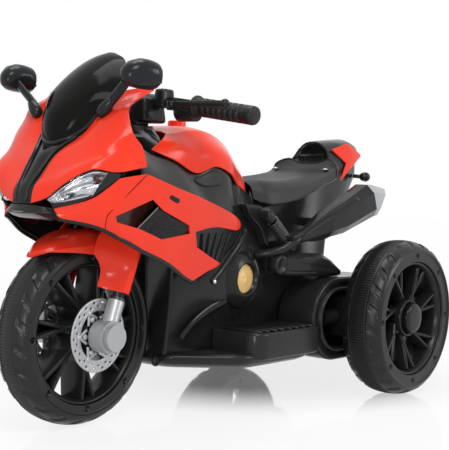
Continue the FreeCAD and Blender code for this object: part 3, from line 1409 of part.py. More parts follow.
def dashboard():
    """A flat control panel behind the windshield, with lugs for the rocker switch."""
    plate = box("dash_plate", DASH_FRONT - DASH_BACK, DASH_HALF * 2, DASH_THICK,
                V(DASH_BACK, -DASH_HALF, DASH_Z - DASH_THICK))
    gap = num("part_gap")
    button_hole = cylinder("button_hole", size("button_radius") + size("part_gap"), DASH_THICK * 3,
                           BUTTON_SPOT - UPWARD * DASH_THICK * 2)
    socket_hole = cylinder("socket_hole", size("socket_radius") + size("running_gap"), DASH_THICK * 3,
                           SOCKET_SPOT - UPWARD * DASH_THICK * 2)
    tilt_room = 1
    long = num("rocker_length") + 2 * (gap + tilt_room)
    wide = num("rocker_width") + 2 * gap
    lug = num("rocker_lug")
    slot = box("rocker_slot", long, wide, DASH_THICK * 3, ROCKER_SPOT - V(long / 2, wide / 2, DASH_THICK * 2))
    lugs = []
    for k, y in enumerate((-wide / 2 - lug, wide / 2)):
        lugs.append(box(f"rocker_lug_{k}", lug * 2, lug, lug * 2.5,
                        ROCKER_SPOT + V(-lug, y, -DASH_THICK - lug * 2.25)))
    pin_hole = cylinder("rocker_pin_hole", size("rocker_pin_radius") + size("running_gap"), wide + lug * 3,
                        ROCKER_AXIS - SIDEWAYS * (wide / 2 + lug * 1.5), SIDEWAYS)
    node(cut("dashboard", fuse("dash_raw", plate, *lugs), button_hole, socket_hole, slot, pin_hole), "dashboard")


def controls():
    lip = num("button_collar")
    button_low = BUTTON_SPOT - UPWARD * (DASH_THICK + lip)
    cap = cylinder("button_cap", size("button_radius"), size("button_height"), button_low)
    collar = cylinder("button_collar", size("button_radius") + size("button_collar"), size("button_collar"),
                      button_low - UPWARD * num("button_travel"))
    neck = cylinder("button_neck", size("button_radius") * 0.7, size("button_collar") * 2, button_low - UPWARD * lip)
    node(fuse("power_button", cap, collar, neck), "power_button")
    half = num("rocker_width") / 2
    barrel = cylinder("rocker_barrel", size("rocker_barrel_radius"), size("rocker_width"),
                      ROCKER_AXIS - SIDEWAYS * half, SIDEWAYS)
    paddle = box("rocker_paddle", size("rocker_length"), size("rocker_width"), size("rocker_thickness"),
                 ROCKER_SPOT - V(num("rocker_length") / 2, half, num("rocker_thickness") * 0.4))
    web_half = num("rocker_barrel_radius") * 0.75
    web = box("rocker_web", web_half * 2, size("rocker_width"), size("dash_thickness") + size("rocker_barrel_radius"),
              ROCKER_AXIS - V(web_half, half, 0))
    pin_end = half + num("rocker_lug") * 0.9
    pin = cylinder("rocker_pin", size("rocker_pin_radius"), pin_end * 2, ROCKER_AXIS - SIDEWAYS * pin_end, SIDEWAYS)
    node(fuse("direction_switch", barrel, paddle, web, pin), "direction_switch")
    rim_height = num("socket_lip")
    foot = num("socket_depth") + rim_height
    shell = cylinder("socket_shell", size("socket_radius"), foot + rim_height / 2, SOCKET_SPOT - UPWARD * foot)
    flange = cylinder("socket_flange", size("socket_radius") + size("socket_lip"), size("socket_lip"),
                      SOCKET_SPOT + UPWARD * num("part_gap"))
    bore = cylinder("socket_bore_hole", size("socket_bore"), size("socket_depth"),
                    SOCKET_SPOT + UPWARD * (rim_height + num("part_gap") - num("socket_depth")))
    node(cut("charge_socket", fuse("socket_raw", shell, flange), bore), "charge_socket")


def build():
    front_wheel()
    rear_wheel("left", 1)
    rear_wheel("right", -1)
    fork_yoke()
    node(group("fork_lowers", *fork_lower("left", 1), *fork_lower("right", -1)), "fork_lowers")
    front_axle()
    front_fender()
    handlebar()
    for side, left in (("left", 1), ("right", -1)):
        node(grip(side, left), f"grip_{side}")
        brake_lever(side, left)
    node(group("switch_housings", switch_housing("left", 1), switch_housing("right", -1)), "switch_housings")
    front_fairing()
    mirrors()
    upper_body()
    screws()
    rear_indicators()
    main_body()
    belly_pan()
    node(footboard("left", 1), "footboard_left")
    accelerator()
    rear_drive()
    battery()
    mufflers()
    swing_arms()
    shocks()
    steering_head()
    dashboard()
    controls()
    doc.recompute()


def write_out():
    failed = [item.Name for item in doc.Objects if "Invalid" in item.State or "Error" in item.State]
    for label, made in NODES.items():
        if made.Shape.isNull() or not made.Shape.isValid() or not made.Shape.Solids:
            failed.append(label)
    if failed:
        raise RuntimeError("no valid shape: " + ", ".join(failed))
    os.makedirs("parts", exist_ok=True)
    for label, made in NODES.items():
        made.Shape.exportStep(f"parts/{label}.step")
    print(len(NODES), "nodes written")


build()
write_out()
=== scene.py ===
# Kids electric motorbike: the finished surfaces of the ride-on toy, dressed over its fixed frame.
# Row frame in metres: +X forward, +Y the rider's left, +Z up. Drawn points are in millimetres,
# counted ahead of the rear axle, left of the middle and up from the floor.
import json
import math
import bmesh
import bpy
from mathutils import Matrix, Vector

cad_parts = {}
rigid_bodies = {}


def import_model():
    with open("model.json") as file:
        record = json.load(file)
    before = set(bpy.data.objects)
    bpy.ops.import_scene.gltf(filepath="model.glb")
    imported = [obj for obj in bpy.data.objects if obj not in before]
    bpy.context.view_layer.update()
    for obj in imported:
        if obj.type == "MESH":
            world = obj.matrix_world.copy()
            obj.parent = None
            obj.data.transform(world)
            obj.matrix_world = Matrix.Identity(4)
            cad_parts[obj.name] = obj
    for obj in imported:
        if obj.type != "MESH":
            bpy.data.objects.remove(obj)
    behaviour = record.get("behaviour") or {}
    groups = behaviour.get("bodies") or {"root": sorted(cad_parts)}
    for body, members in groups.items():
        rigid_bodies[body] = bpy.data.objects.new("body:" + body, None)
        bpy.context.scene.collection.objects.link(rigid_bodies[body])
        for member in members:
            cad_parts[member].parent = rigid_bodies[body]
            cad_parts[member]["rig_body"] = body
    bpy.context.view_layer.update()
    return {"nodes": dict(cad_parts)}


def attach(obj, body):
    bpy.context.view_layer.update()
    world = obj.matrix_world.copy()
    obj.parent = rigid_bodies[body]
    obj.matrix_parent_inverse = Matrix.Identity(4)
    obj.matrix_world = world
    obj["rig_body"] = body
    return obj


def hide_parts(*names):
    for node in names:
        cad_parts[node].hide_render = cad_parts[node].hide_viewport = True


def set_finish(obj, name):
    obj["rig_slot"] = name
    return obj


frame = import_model()
scene = bpy.context.scene
MM = 0.001
SIDES = (("left", 1), ("right", -1))
WHEELBASE = 556
AXLE_UP = 125


# Drawn points
def at(ahead, left, up):
    """A drawn point in the row frame."""
    return Vector((ahead - WHEELBASE / 2, left, up)) * MM


def points_at(points, facing=1):
    """Drawn points in the row frame, on the right-hand side for a facing of minus one."""
    return [at(ahead, left * facing, up) for ahead, left, up in points]


def rows_at(rows, facing=1):
    return [points_at(row, facing) for row in rows]


def both_sides(points):
    """Drawn points from the left edge to the middle, completed with their mirrored right half."""
    return points + [(ahead, -left, up) for ahead, left, up in reversed(points[:-1])]


def whole(rows):
    """Rows of both sides in the row frame."""
    return [points_at(both_sides(row)) for row in rows]


def station(ahead, *places):
    """A row of drawn points at one place ahead, given as pairs of left and up."""
    return [(ahead, left, up) for left, up in places]


def pushed(points, left=0.0, ahead=0.0, up=0.0):
    """Drawn points moved over by some millimetres."""
    return [(a + ahead, y + left, z + up) for a, y, z in points]


HEART = at(300, 0, 250)
FRONT_AXLE = at(WHEELBASE, 0, AXLE_UP)
REAR_AXLE = at(0, 0, AXLE_UP)
RAKE = math.radians(20)
STEER_UP = Vector((-math.sin(RAKE), 0, math.cos(RAKE)))
STEER_BACK = Vector((-math.cos(RAKE), 0, -math.sin(RAKE)))
ACROSS = Vector((0, 1, 0))
UP = Vector((0, 0, 1))
AHEAD = Vector((1, 0, 0))


def on_fork(along, left=0, back=0):
    """A point of the fork in millimetres: up the steering axis from the axle, to the left and behind."""
    return FRONT_AXLE + (STEER_UP * along + ACROSS * left + STEER_BACK * back) * MM


# Lines and surfaces
def smooth_line(points, steps, creases=()):
    """A smooth line through the points, sharp at the creases, with equal steps between neighbours."""
    last = len(points) - 1
    line = []
    for k in range(last):
        here = points[k]
        there = points[k + 1]
        has_before = k > 0 and k not in creases
        has_after = k + 1 < last and k + 1 not in creases
        before = points[k - 1] if has_before else here * 2 - there
        after = points[k + 2] if has_after else there * 2 - here
        pairs = ((before, here), (here, there), (there, after))
        gaps = [max((b - a).length, 1e-6) ** 0.5 for a, b in pairs]
        chord = (there - here) / gaps[1]
        start = ((here - before) / gaps[0] - (there - before) / (gaps[0] + gaps[1]) + chord) * gaps[1]
        end = (chord - (after - here) / (gaps[1] + gaps[2]) + (after - there) / gaps[2]) * gaps[1]
        for step in range(steps):
            t = step / steps
            line.append(here * (2 * t ** 3 - 3 * t ** 2 + 1) + start * (t ** 3 - 2 * t ** 2 + t)
                        + there * (3 * t ** 2 - 2 * t ** 3) + end * (t ** 3 - t ** 2))
    return line + [points[-1].copy()]


def line_at(points, facing=1, steps=6):
    """A smooth line through drawn points."""
    return smooth_line(points_at(points, facing), steps)


def refined(rows, steps, crease_rows=(), crease_cols=()):
    """A dense grid on the smooth surface through rows of points."""
    lines = [smooth_line(row, steps, creases=crease_cols) for row in rows]
    columns = [smooth_line(list(column), steps, creases=crease_rows) for column in zip(*lines)]
    return [list(row) for row in zip(*columns)]


def baked(name, mesh):
    """A smooth-shaded mesh from a working one."""
    made = bpy.data.meshes.new(name)
    mesh.to_mesh(made)
    mesh.free()
    made.shade_smooth()
    return made


def grid_mesh(name, rows, inside=None, closed=False, capped=False, looped=False, skip=(), steps=1):
    """A mesh over a grid of points, facing away from an inside point; skip names cells that stay open."""
    mesh = bmesh.new()
    verts = [[mesh.verts.new(p) for p in row] for row in rows]
    across = len(rows[0])
    for i in range(len(rows) - 1):
        for j in range(across if closed else across - 1):
            if (i // steps, j // steps) in skip:
                continue
            k = (j + 1) % across
            mesh.faces.new((verts[i][j], verts[i][k], verts[i + 1][k], verts[i + 1][j]))
    if capped:
        mesh.faces.new(verts[0][::-1])
        mesh.faces.new(verts[-1])
    bmesh.ops.remove_doubles(mesh, verts=mesh.verts, dist=2e-6)
    loose = [v for v in mesh.verts if not v.link_faces]
    bmesh.ops.delete(mesh, geom=loose, context="VERTS")
    if capped or looped:
        bmesh.ops.recalc_face_normals(mesh, faces=mesh.faces)
    elif inside is not None:
        mesh.normal_update()
        facing = sum(f.normal.dot(f.calc_center_median() - inside) * f.calc_area() for f in mesh.faces)
        if facing < 0:
            bmesh.ops.reverse_faces(mesh, faces=mesh.faces)
    return baked(name, mesh)


# Pieces; a look is a finish, its slot and the body that carries it
def dress(name, mesh, look, *nodes):
    """A finished piece that rides on a body and may stand for CAD nodes."""
    finish, slot, body = look
    piece = bpy.data.objects.new(name, mesh)
    scene.collection.objects.link(piece)
    mesh.materials.append(finish)
    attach(piece, body)
    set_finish(piece, slot)
    if nodes:
        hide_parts(*nodes)
    return piece


def thicken(piece, wall):
    added = piece.modifiers.new("wall", "SOLIDIFY")
    added.thickness = wall * MM
    added.offset = -1
    return piece


def round_edges(piece, width, angle=35, segments=2):
    added = piece.modifiers.new("edges", "BEVEL")
    added.width = width * MM
    added.segments = segments
    added.limit_method = "ANGLE"
    added.angle_limit = math.radians(angle)
    added.harden_normals = False
    return piece


def panel(name, rows, look, *nodes, wall=2.6, steps=8, edge=0.8, inside=HEART, skip=(), crease_rows=(),
          crease_cols=()):
    """A moulded skin: a smooth surface through drawn points, thickened inwards, with rounded edges."""
    surface = refined(rows, steps, crease_rows, crease_cols)
    piece = dress(name, grid_mesh(name, surface, inside, skip=skip, steps=steps), look, *nodes)
    return round_edges(thicken(piece, wall), edge)


def loft(name, rings, look, *nodes, edge=0.0):
    """A closed piece through rings of points."""
    piece = dress(name, grid_mesh(name, rings, closed=True, capped=True), look, *nodes)
    return round_edges(piece, edge) if edge else piece


def ring_round(centre, axis, radius, count):
    """Points of a circle round an axis."""
    axis = axis.normalized()
    side = UP if abs(axis.z) < 0.9 else AHEAD
    side = (side - axis * side.dot(axis)).normalized()
    other = axis.cross(side)
    turns = [2 * math.pi * k / count for k in range(count)]
    return [centre + (side * math.cos(turn) + other * math.sin(turn)) * radius for turn in turns]


def coil(start, end, radius, turns):
    """Points of a coil wound from one point to another."""
    per_turn = 20
    count = turns * per_turn
    return [ring_round(start.lerp(end, k / count), end - start, radius, per_turn)[k % per_turn]
            for k in range(count + 1)]


def lathe(name, profile, origin, axis, look, *nodes, count=48, edge=0.0):
    """A turned piece: its profile is pairs of distance along the axis and radius, in millimetres."""
    axis = axis.normalized()
    least = 0.0004
    rings = [ring_round(origin + axis * along * MM, axis, max(radius, least) * MM, count)
             for along, radius in profile]
    return loft(name, rings, look, *nodes, edge=edge)


def swept(name, route, outline, look, *nodes, scales=None, up=UP, edge=0.0):
    """A bar along a route: its outline is pairs of sideways and upward millimetres, kept upright."""
    rings = []
    last = len(route) - 1
    side = None
    for k, spot in enumerate(route):
        way = (route[min(k + 1, last)] - route[max(k - 1, 0)]).normalized()
        first = up.cross(way) if side is None else side
        side = (first - way * first.dot(way)).normalized()
        lift = way.cross(side)
        grow = scales[k] if scales else 1
        rings.append([spot + (side * a + lift * b) * (MM * grow) for a, b in outline])
    return loft(name, rings, look, *nodes, edge=edge)


def loop_bar(name, route, outline, up, look):
    """A bar round a closed route; its outline is pairs of outward and upward millimetres."""
    rows = []
    count = len(route)
    for k, spot in enumerate(route):
        way = (route[(k + 1) % count] - route[k - 1]).normalized()
        side = way.cross(up).normalized()
        rows.append([spot + (side * a + up * b) * MM for a, b in outline])
    rows.append(rows[0])
    return dress(name, grid_mesh(name, rows, closed=True, looped=True), look)


def rounded_outline(corners, steps=6):
    """A closed line round corners given as x, y and corner radius, all in millimetres."""
    line = []
    count = len(corners)
    for k, (x, y, radius) in enumerate(corners):
        here = Vector((x, y))
        back = (Vector(corners[k - 1][:2]) - here).normalized()
        on = (Vector(corners[(k + 1) % count][:2]) - here).normalized()
        for step in range(steps + 1):
            t = step / steps
            line.append(here + back * radius * (1 - t) ** 2 + on * radius * t ** 2)
    return line


def bulged(value, power):
    """A share between minus one and one, raised to a power with its sign kept."""
    return math.copysign(abs(value) ** power, value)


def oval(wide, high, count=16):
    turns = [2 * math.pi * k / count for k in range(count)]
    return [(wide * math.cos(turn), high * math.sin(turn)) for turn in turns]


def rounded_box(name, size, place, look, *nodes, edge=2.0, taper=1.0):
    """A moulded block with rounded edges; its top may be narrower than its foot."""
    mesh = bmesh.new()
    bmesh.ops.create_cube(mesh, size=1)
    for vert in mesh.verts:
        shrink = taper if vert.co.z > 0 else 1
        x, y, z = vert.co
        vert.co = place + Vector((x * size[0] * shrink, y * size[1] * shrink, z * size[2])) * MM
    return round_edges(dress(name, baked(name, mesh), look, *nodes), edge, segments=4)


def bar_between(name, start, end, radius, look):
    """A round bar with softened ends."""
    length = (end - start).length / MM
    soft = radius * 0.25
    profile = [(0, radius - soft), (soft, radius), (length - soft, radius), (length, radius - soft)]
    return lathe(name, profile, start, end - start, look, count=20)


def join(name, pieces):
    """Several pieces of one look merged into one."""
    graph = bpy.context.evaluated_depsgraph_get()
    merged = bmesh.new()
    for piece in pieces:
        shape = bpy.data.meshes.new_from_object(piece.evaluated_get(graph))
        shape.transform(piece.matrix_world)
        merged.from_mesh(shape)
        bpy.data.meshes.remove(shape)
    first = pieces[0]
    look = (first.data.materials[0], first["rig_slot"], first["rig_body"])
    piece = dress(name, baked(name, merged), look)
    for old in pieces:
        bpy.data.objects.remove(old)
    return piece


def paint_node(name, finish):
    """A CAD node that keeps its shape gets its finish and softened edges."""
    node = frame["nodes"][name]
    node.data.materials.clear()
    node.data.materials.append(finish)
    weld = node.modifiers.new("weld", "WELD")
    weld.merge_threshold = 1e-5
    return round_edges(node, 0.6, angle=40)


# Materials
class Shading:
    """The nodes of a material or of the world, with short ways to add and join them."""

    def __init__(self, tree):
        self.nodes = tree.nodes
        self.links = tree.links

    def feed(self, node, socket, value):
        """A constant or another node's output on one input of a node."""
        if isinstance(value, bpy.types.NodeSocket):
            self.links.new(value, node.inputs[socket])
        else:
            node.inputs[socket].default_value = value

    def add(self, kind, inputs=None, **settings):
        """A new node with its settings and with constants or outputs on its inputs."""
        node = self.nodes.new("ShaderNode" + kind)
        for key, value in settings.items():
            setattr(node, key, value)
        for socket, value in (inputs or {}).items():
            self.feed(node, socket, value)
        return node

    def mix(self, share, first, second):
        return self.add("MixShader", {"Fac": share, 1: first, 2: second}).outputs["Shader"]

    def seen(self):
        """One for rays that show the background: from the camera, a glossy surface or a clear one."""
        path = self.add("LightPath")
        total = path.outputs["Is Camera Ray"]
        for kind in ("Is Glossy Ray", "Is Transmission Ray"):
            more = self.add("Math", {0: total, 1: path.outputs[kind]}, operation="MAXIMUM")
            total = more.outputs["Value"]
        return total


class Paint(Shading):
    """A material in the making, with its main shader and the place on the object."""

    def __init__(self, name):
        self.made = bpy.data.materials.new(name)
        self.made.use_nodes = True
        super().__init__(self.made.node_tree)
        self.shader = self.nodes["Principled BSDF"]
        self.place = self.add("TexCoord").outputs["Object"]

    def noise(self, scale, detail=3.0):
        return self.add("TexNoise", {"Scale": scale, "Detail": detail, "Vector": self.place}).outputs["Fac"]

    def ramp(self, value, low, high, start=0.3, end=0.7):
        node = self.add("ValToRGB", {"Fac": value})
        first, last = node.color_ramp.elements
        first.position = start
        last.position = end
        first.color = (*low, 1)
        last.color = (*high, 1)
        return node.outputs["Color"]

    def between(self, value, low, high):
        return self.add("MapRange", {"To Min": low, "To Max": high, "Value": value}).outputs["Result"]

    def bump(self, height, strength, distance=0.0004):
        node = self.add("Bump", {"Strength": strength, "Distance": distance, "Height": height})
        return node.outputs["Normal"]

    def reach(self, middle, near, far, at_near, at_far):
        """A share that changes with the distance from a point."""
        gap = self.add("VectorMath", {0: self.place, 1: middle}, operation="DISTANCE")
        inputs = {"From Min": near, "From Max": far, "To Min": at_near, "To Max": at_far,
                  "Value": gap.outputs["Value"]}
        return self.add("MapRange", inputs, interpolation_type="SMOOTHSTEP").outputs["Result"]

    def finish(self, inputs):
        """The material with constants or outputs on its shader's inputs."""
        for socket, value in inputs.items():
            self.feed(self.shader, socket, value)
        return self.made


def moulded(name, colour, rough, spread=0.05, grain=900, grain_height=0.12, coat=0.0, metallic=0.0,
            vary=0.10, specular=0.5):
    """Moulded plastic or paint: slight colour drift, uneven gloss and a fine surface grain."""
    paint = Paint(name)
    low = [c * (1 - vary) for c in colour]
    high = [c * (1 + vary) for c in colour]
    paint.finish({
        "Base Color": paint.ramp(paint.noise(9, 4), low, high),
        "Roughness": paint.between(paint.noise(35, 5), rough - spread, rough + spread),
        "Normal": paint.bump(paint.noise(grain, 2), grain_height),
        "Metallic": metallic,
        "Specular IOR Level": specular,
    })
    if coat:
        paint.finish({"Coat Weight": coat, "Coat Roughness": 0.04})
    return paint.made


def seat_material():
    """Matte moulded seat with a fine leather-like grain."""
    paint = Paint("seat_grain")
    cells = paint.add("TexVoronoi", {"Scale": 420, "Vector": paint.place}, feature="DISTANCE_TO_EDGE")
    drift = paint.noise(14, 4)
    return paint.finish({
        "Base Color": paint.ramp(drift, (0.010, 0.010, 0.010), (0.017, 0.017, 0.017)),
        "Roughness": paint.between(drift, 0.40, 0.54),
        "Specular IOR Level": 0.30,
        "Normal": paint.bump(cells.outputs["Distance"], 0.16, 0.0005),
    })


def weave_material():
    """Black insert printed with a fine twill weave."""
    paint = Paint("twill_insert")
    turned = paint.add("Mapping", {"Rotation": (math.radians(90), 0, 0), "Vector": paint.place})
    squares = paint.add("TexBrick", {
        "Scale": 130,
        "Color1": (0.007, 0.007, 0.0075, 1),
        "Color2": (0.032, 0.032, 0.034, 1),
        "Mortar": (0.006, 0.006, 0.006, 1),
        "Mortar Size": 0.06,
        "Vector": turned.outputs["Vector"],
    })
    return paint.finish({
        "Base Color": squares.outputs["Color"],
        "Roughness": paint.between(paint.noise(60), 0.30, 0.42),
        "Specular IOR Level": 0.12,
        "Normal": paint.bump(squares.outputs["Fac"], -0.35),
    })


COVER_SPOT = (288, 77.5, 192)


def gold_material():
    """Gold plastic with turned rings round its own middle: the rings are a real bump and also lighten and
    darken the colour as painted ring highlights.
    """
    paint = Paint("gold_rings")
    middle = paint.add("Mapping", {"Location": -at(*COVER_SPOT), "Vector": paint.place})
    rings = paint.add("TexWave", {"Scale": 90, "Distortion": 0.6, "Vector": middle.outputs["Vector"]},
                      wave_type="RINGS", rings_direction="Y")
    tone = rings.outputs["Fac"]
    return paint.finish({
        # Painted highlights: the base colour lightens and darkens with the rings.
        "Base Color": paint.ramp(tone, (0.66, 0.42, 0.14), (0.82, 0.56, 0.22), 0.2, 0.8),
        "Roughness": paint.between(paint.noise(80), 0.30, 0.42),
        "Normal": paint.bump(tone, 0.25),
    })


def lens_material():
    """Clear moulded lens with a faint moulding ripple."""
    paint = Paint("clear_lens")
    ripple = paint.noise(40, 2)
    return paint.finish({
        "Base Color": paint.ramp(ripple, (0.93, 0.95, 0.97), (0.99, 0.99, 1.0)),
        "Transmission Weight": 1.0,
        "IOR": 1.25,
        "Roughness": paint.between(ripple, 0.01, 0.05),
    })


def mirror_material():
    """Silvered mirror face with the faintest haze."""
    paint = Paint("mirror_face")
    haze = paint.noise(25)
    return paint.finish({
        "Base Color": paint.ramp(haze, (0.80, 0.82, 0.84), (0.86, 0.88, 0.90)),
        "Roughness": paint.between(haze, 0.02, 0.06),
        "Metallic": 1.0,
    })


SLEEVE_TOP = 0.050


def slider_material():
    """Silver paint up to the top of the fork sleeve and black above it."""
    paint = Paint("slider_paint")
    height = paint.add("VectorMath", {0: paint.place, 1: STEER_UP}, operation="DOT_PRODUCT")
    top = FRONT_AXLE.dot(STEER_UP) + SLEEVE_TOP
    limits = {"From Min": top - 0.0004, "From Max": top + 0.0004}
    above = paint.add("MapRange", {**limits, "Value": height.outputs["Value"]}).outputs["Result"]
    return paint.finish({
        "Base Color": paint.ramp(above, (0.36, 0.365, 0.375), (0.010, 0.010, 0.010), 0.0, 1.0),
        "Metallic": paint.between(above, 0.45, 0.0),
        "Roughness": paint.between(paint.noise(35, 5), 0.28, 0.40),
        "Normal": paint.bump(paint.noise(2600, 2), 0.12),
    })


SMOOTH = {"grain": 500, "grain_height": 0.03, "vary": 0.2}
METAL_PAINT = {"spread": 0.06, "grain": 2600, "grain_height": 0.12, "metallic": 0.45}
RED = moulded("red_gloss", (0.73, 0.034, 0.013), 0.20, 0.04, grain=500, grain_height=0.03, coat=0.03,
              vary=0.04, specular=0.20)
# Dark red for the thin line along the fairing seam: painted shadow of the seam's groove.
SEAM_SHADOW = moulded("painted_seam_shadow", (0.16, 0.012, 0.008), 0.5, vary=0.2, specular=0.1)
BLACK = moulded("black_satin", (0.015, 0.015, 0.0155), 0.20, grain=1600, grain_height=0.08, vary=0.2,
                specular=0.19)
BLACK_GLOSS = moulded("black_gloss", (0.008, 0.008, 0.009), 0.10, 0.04, specular=0.22, **SMOOTH)
SCREEN = moulded("smoke_screen", (0.006, 0.0058, 0.0055), 0.12, 0.04, grain=200, grain_height=0.01,
                 vary=0.25, specular=0.05)
MIRROR_SHELL = moulded("mirror_shell", (0.012, 0.013, 0.015), 0.20, grain=700, grain_height=0.05,
                       vary=0.2, specular=0.18)
GREY = moulded("grey_plastic", (0.15, 0.15, 0.155), 0.36, 0.06, grain=1500, grain_height=0.10, specular=0.3)
SILVER = moulded("silver_paint", (0.40, 0.41, 0.425), 0.34, vary=0.07, **METAL_PAINT)
LAMP_STRIP = moulded("lamp_strip_paint", (0.27, 0.275, 0.285), 0.36, **METAL_PAINT)
STEEL = moulded("bright_steel", (0.60, 0.61, 0.63), 0.26, 0.08, grain=2000, grain_height=0.08,
                metallic=0.95)
RUBBER = moulded("grip_rubber", (0.012, 0.012, 0.012), 0.36, 0.08, grain=2200, grain_height=0.25,
                 vary=0.25, specular=0.22)
TYRE = moulded("tyre_rubber", (0.011, 0.0112, 0.0118), 0.29, 0.06, grain=1400, grain_height=0.16, vary=0.2,
               specular=0.26)
RIM = moulded("rim_plastic", (0.013, 0.013, 0.013), 0.25, 0.06, grain=1200, grain_height=0.08, vary=0.2,
              specular=0.2)
INTAKE = moulded("intake_ramp", (0.030, 0.010, 0.009), 0.20, 0.04, specular=0.2, **SMOOTH)
CHROME = moulded("reflector", (0.75, 0.76, 0.78), 0.12, grain=150, grain_height=0.02, metallic=1.0,
                 vary=0.05)
SPRING = moulded("spring_paint", (0.022, 0.022, 0.023), 0.22, specular=0.45)
CASE = moulded("plain_case", (0.012, 0.012, 0.013), 0.45, 0.06, specular=0.15)
LAMP = moulded("tinted_lamp", (0.012, 0.009, 0.008), 0.15, 0.04, vary=0.3, specular=0.3)
BUTTON = moulded("button_red", (0.50, 0.02, 0.012), 0.25, 0.04, coat=0.3)
SLIDER_PAINT = slider_material()
SEAT_GRAIN = seat_material()
WEAVE = weave_material()
GOLD = gold_material()
LENS = lens_material()
MIRROR_FACE = mirror_material()

# Looks in common use
HULL = (BLACK, "black_plastic", "chassis")
GLOSS = (BLACK_GLOSS, "gloss_black", "chassis")
RED_SKIN = (RED, "red_plastic", "chassis")
MIRROR = (MIRROR_SHELL, "gloss_black", "chassis")
REFLECTOR = (CHROME, "reflector", "chassis")
DISC = (SILVER, "silver_paint", "front_wheel")
STEER_BLACK = (BLACK, "black_plastic", "steering")
STEER_RED = (RED, "red_plastic", "steering")


# Wheels
CROWN_RADIUS = 125.0
SHOULDER_RADIUS = 109.5
TREAD_RIBS = 180
SHOULDER_GROOVES = 24
BOLT_CIRCLE = 101.0
BOLT_COUNT = 8
BOLT_RADIUS = 4.0
TYRE_STEPS = 720
SPOKE_PAIRS = 7
SPOKE_ANGLES = (("lead", -10, 38), ("trail", 20, 24))
REAR_TRACK = 350


def ease(value, low, high):
    t = min(max((value - low) / (high - low), 0.0), 1.0)
    return t * t * (3 - 2 * t)


def tread_depth(share, turn):
    """How deep the tread is cut at a share of the half width and a turn round the wheel, in millimetres."""
    reach = abs(share)
    rib = (turn * TREAD_RIBS) % 1.0
    ribs = 1.7 * (1 - ease(abs(rib - 0.5), 0.16, 0.34)) * (1 - ease(reach, 0.33, 0.36))
    groove = 1.6 * ease(reach, 0.355, 0.375) * (1 - ease(reach, 0.40, 0.43))
    offset = 0.25 if share < 0 else 0.0
    swoop = (turn * SHOULDER_GROOVES + offset - 0.9 * max(reach - 0.45, 0.0) ** 1.3) % 1.0
    slash = ease(swoop, 0.02, 0.06) * (1 - ease(swoop, 0.24 + 0.14 * reach, 0.36 + 0.14 * reach))
    band = ease(reach, 0.46, 0.54) * (1 - ease(reach, 0.86, 0.95))
    return ribs + groove + 2.6 * slash * band


def tyre_profile(half, bead):
    """Pairs of sideways place and radius from one bead of a tyre over its crown to the other."""
    side = half - 3
    dome = [(half, SHOULDER_RADIUS), (half * 0.9, 116.0), (half * 0.66, 121.3), (half * 0.36, 124.07),
            (0.0, CROWN_RADIUS)]
    wall = SHOULDER_RADIUS - 3 - bead - 2
    outer = [(side - 4, bead), (side - 1.2, bead + 0.2), (side, bead + 1.4)]
    outer += [(side, bead + 2 + wall * k / 13) for k in range(14)]
    outer += [(side + 0.9, SHOULDER_RADIUS - 1.6), (half - 0.7, SHOULDER_RADIUS - 0.7)]
    outer += [(p.x, p.y) for p in smooth_line([Vector((y, r, 0)) for y, r in dome], 8)]
    return outer + [(-y, r) for y, r in reversed(outer[:-1])]


def tyre(name, centre, half, bead, body, node):
    """A tyre with a ribbed centre band, slanted shoulder cuts and bolt holes in its side rings."""
    bolt_turn = 1.0 / BOLT_COUNT
    rows = []
    for y, r in tyre_profile(half, bead):
        row = []
        for k in range(TYRE_STEPS):
            turn = k / TYRE_STEPS
            angle = 2 * math.pi * turn
            deep_r, deep_y = 0.0, 0.0
            if r > SHOULDER_RADIUS - 0.1:
                deep_r = tread_depth(y / half, turn)
            elif r > bead + 1.5:
                off = ((turn + bolt_turn / 2) % bolt_turn - bolt_turn / 2) * 2 * math.pi * r
                near = math.hypot(off, r - BOLT_CIRCLE)
                deep_y = 6.0 * (1 - ease(near, BOLT_RADIUS - 0.5, BOLT_RADIUS + 0.5))
            far = (r - deep_r) * MM
            out = (abs(y) - deep_y) * (1 if y >= 0 else -1) * MM
            row.append(centre + Vector((far * math.sin(angle), out, far * math.cos(angle))))
        rows.append(row)
    return dress(name, grid_mesh(name, rows, centre, closed=True), (TYRE, "tread", body), node)


def spoke(name, centre, start, end, inner, outer, blade, look, facing):
    """One straight blade of a wheel from an angle at the hub to an angle at the rim."""
    low, high, wide = blade
    foot = Vector((inner * math.sin(start), facing * low, inner * math.cos(start)))
    tip = Vector((outer * math.sin(end), facing * high, outer * math.cos(end)))
    route = [centre + foot.lerp(tip, k / 4) * MM for k in range(5)]
    outline = [(-2.4, -wide), (2.4, -wide), (3.2, wide - 3), (1.8, wide), (-1.8, wide), (-3.2, wide - 3)]
    return swept(name, route, outline, look, up=ACROSS * facing, edge=0.9,
                 scales=[1.2 - 0.06 * k for k in range(5)])


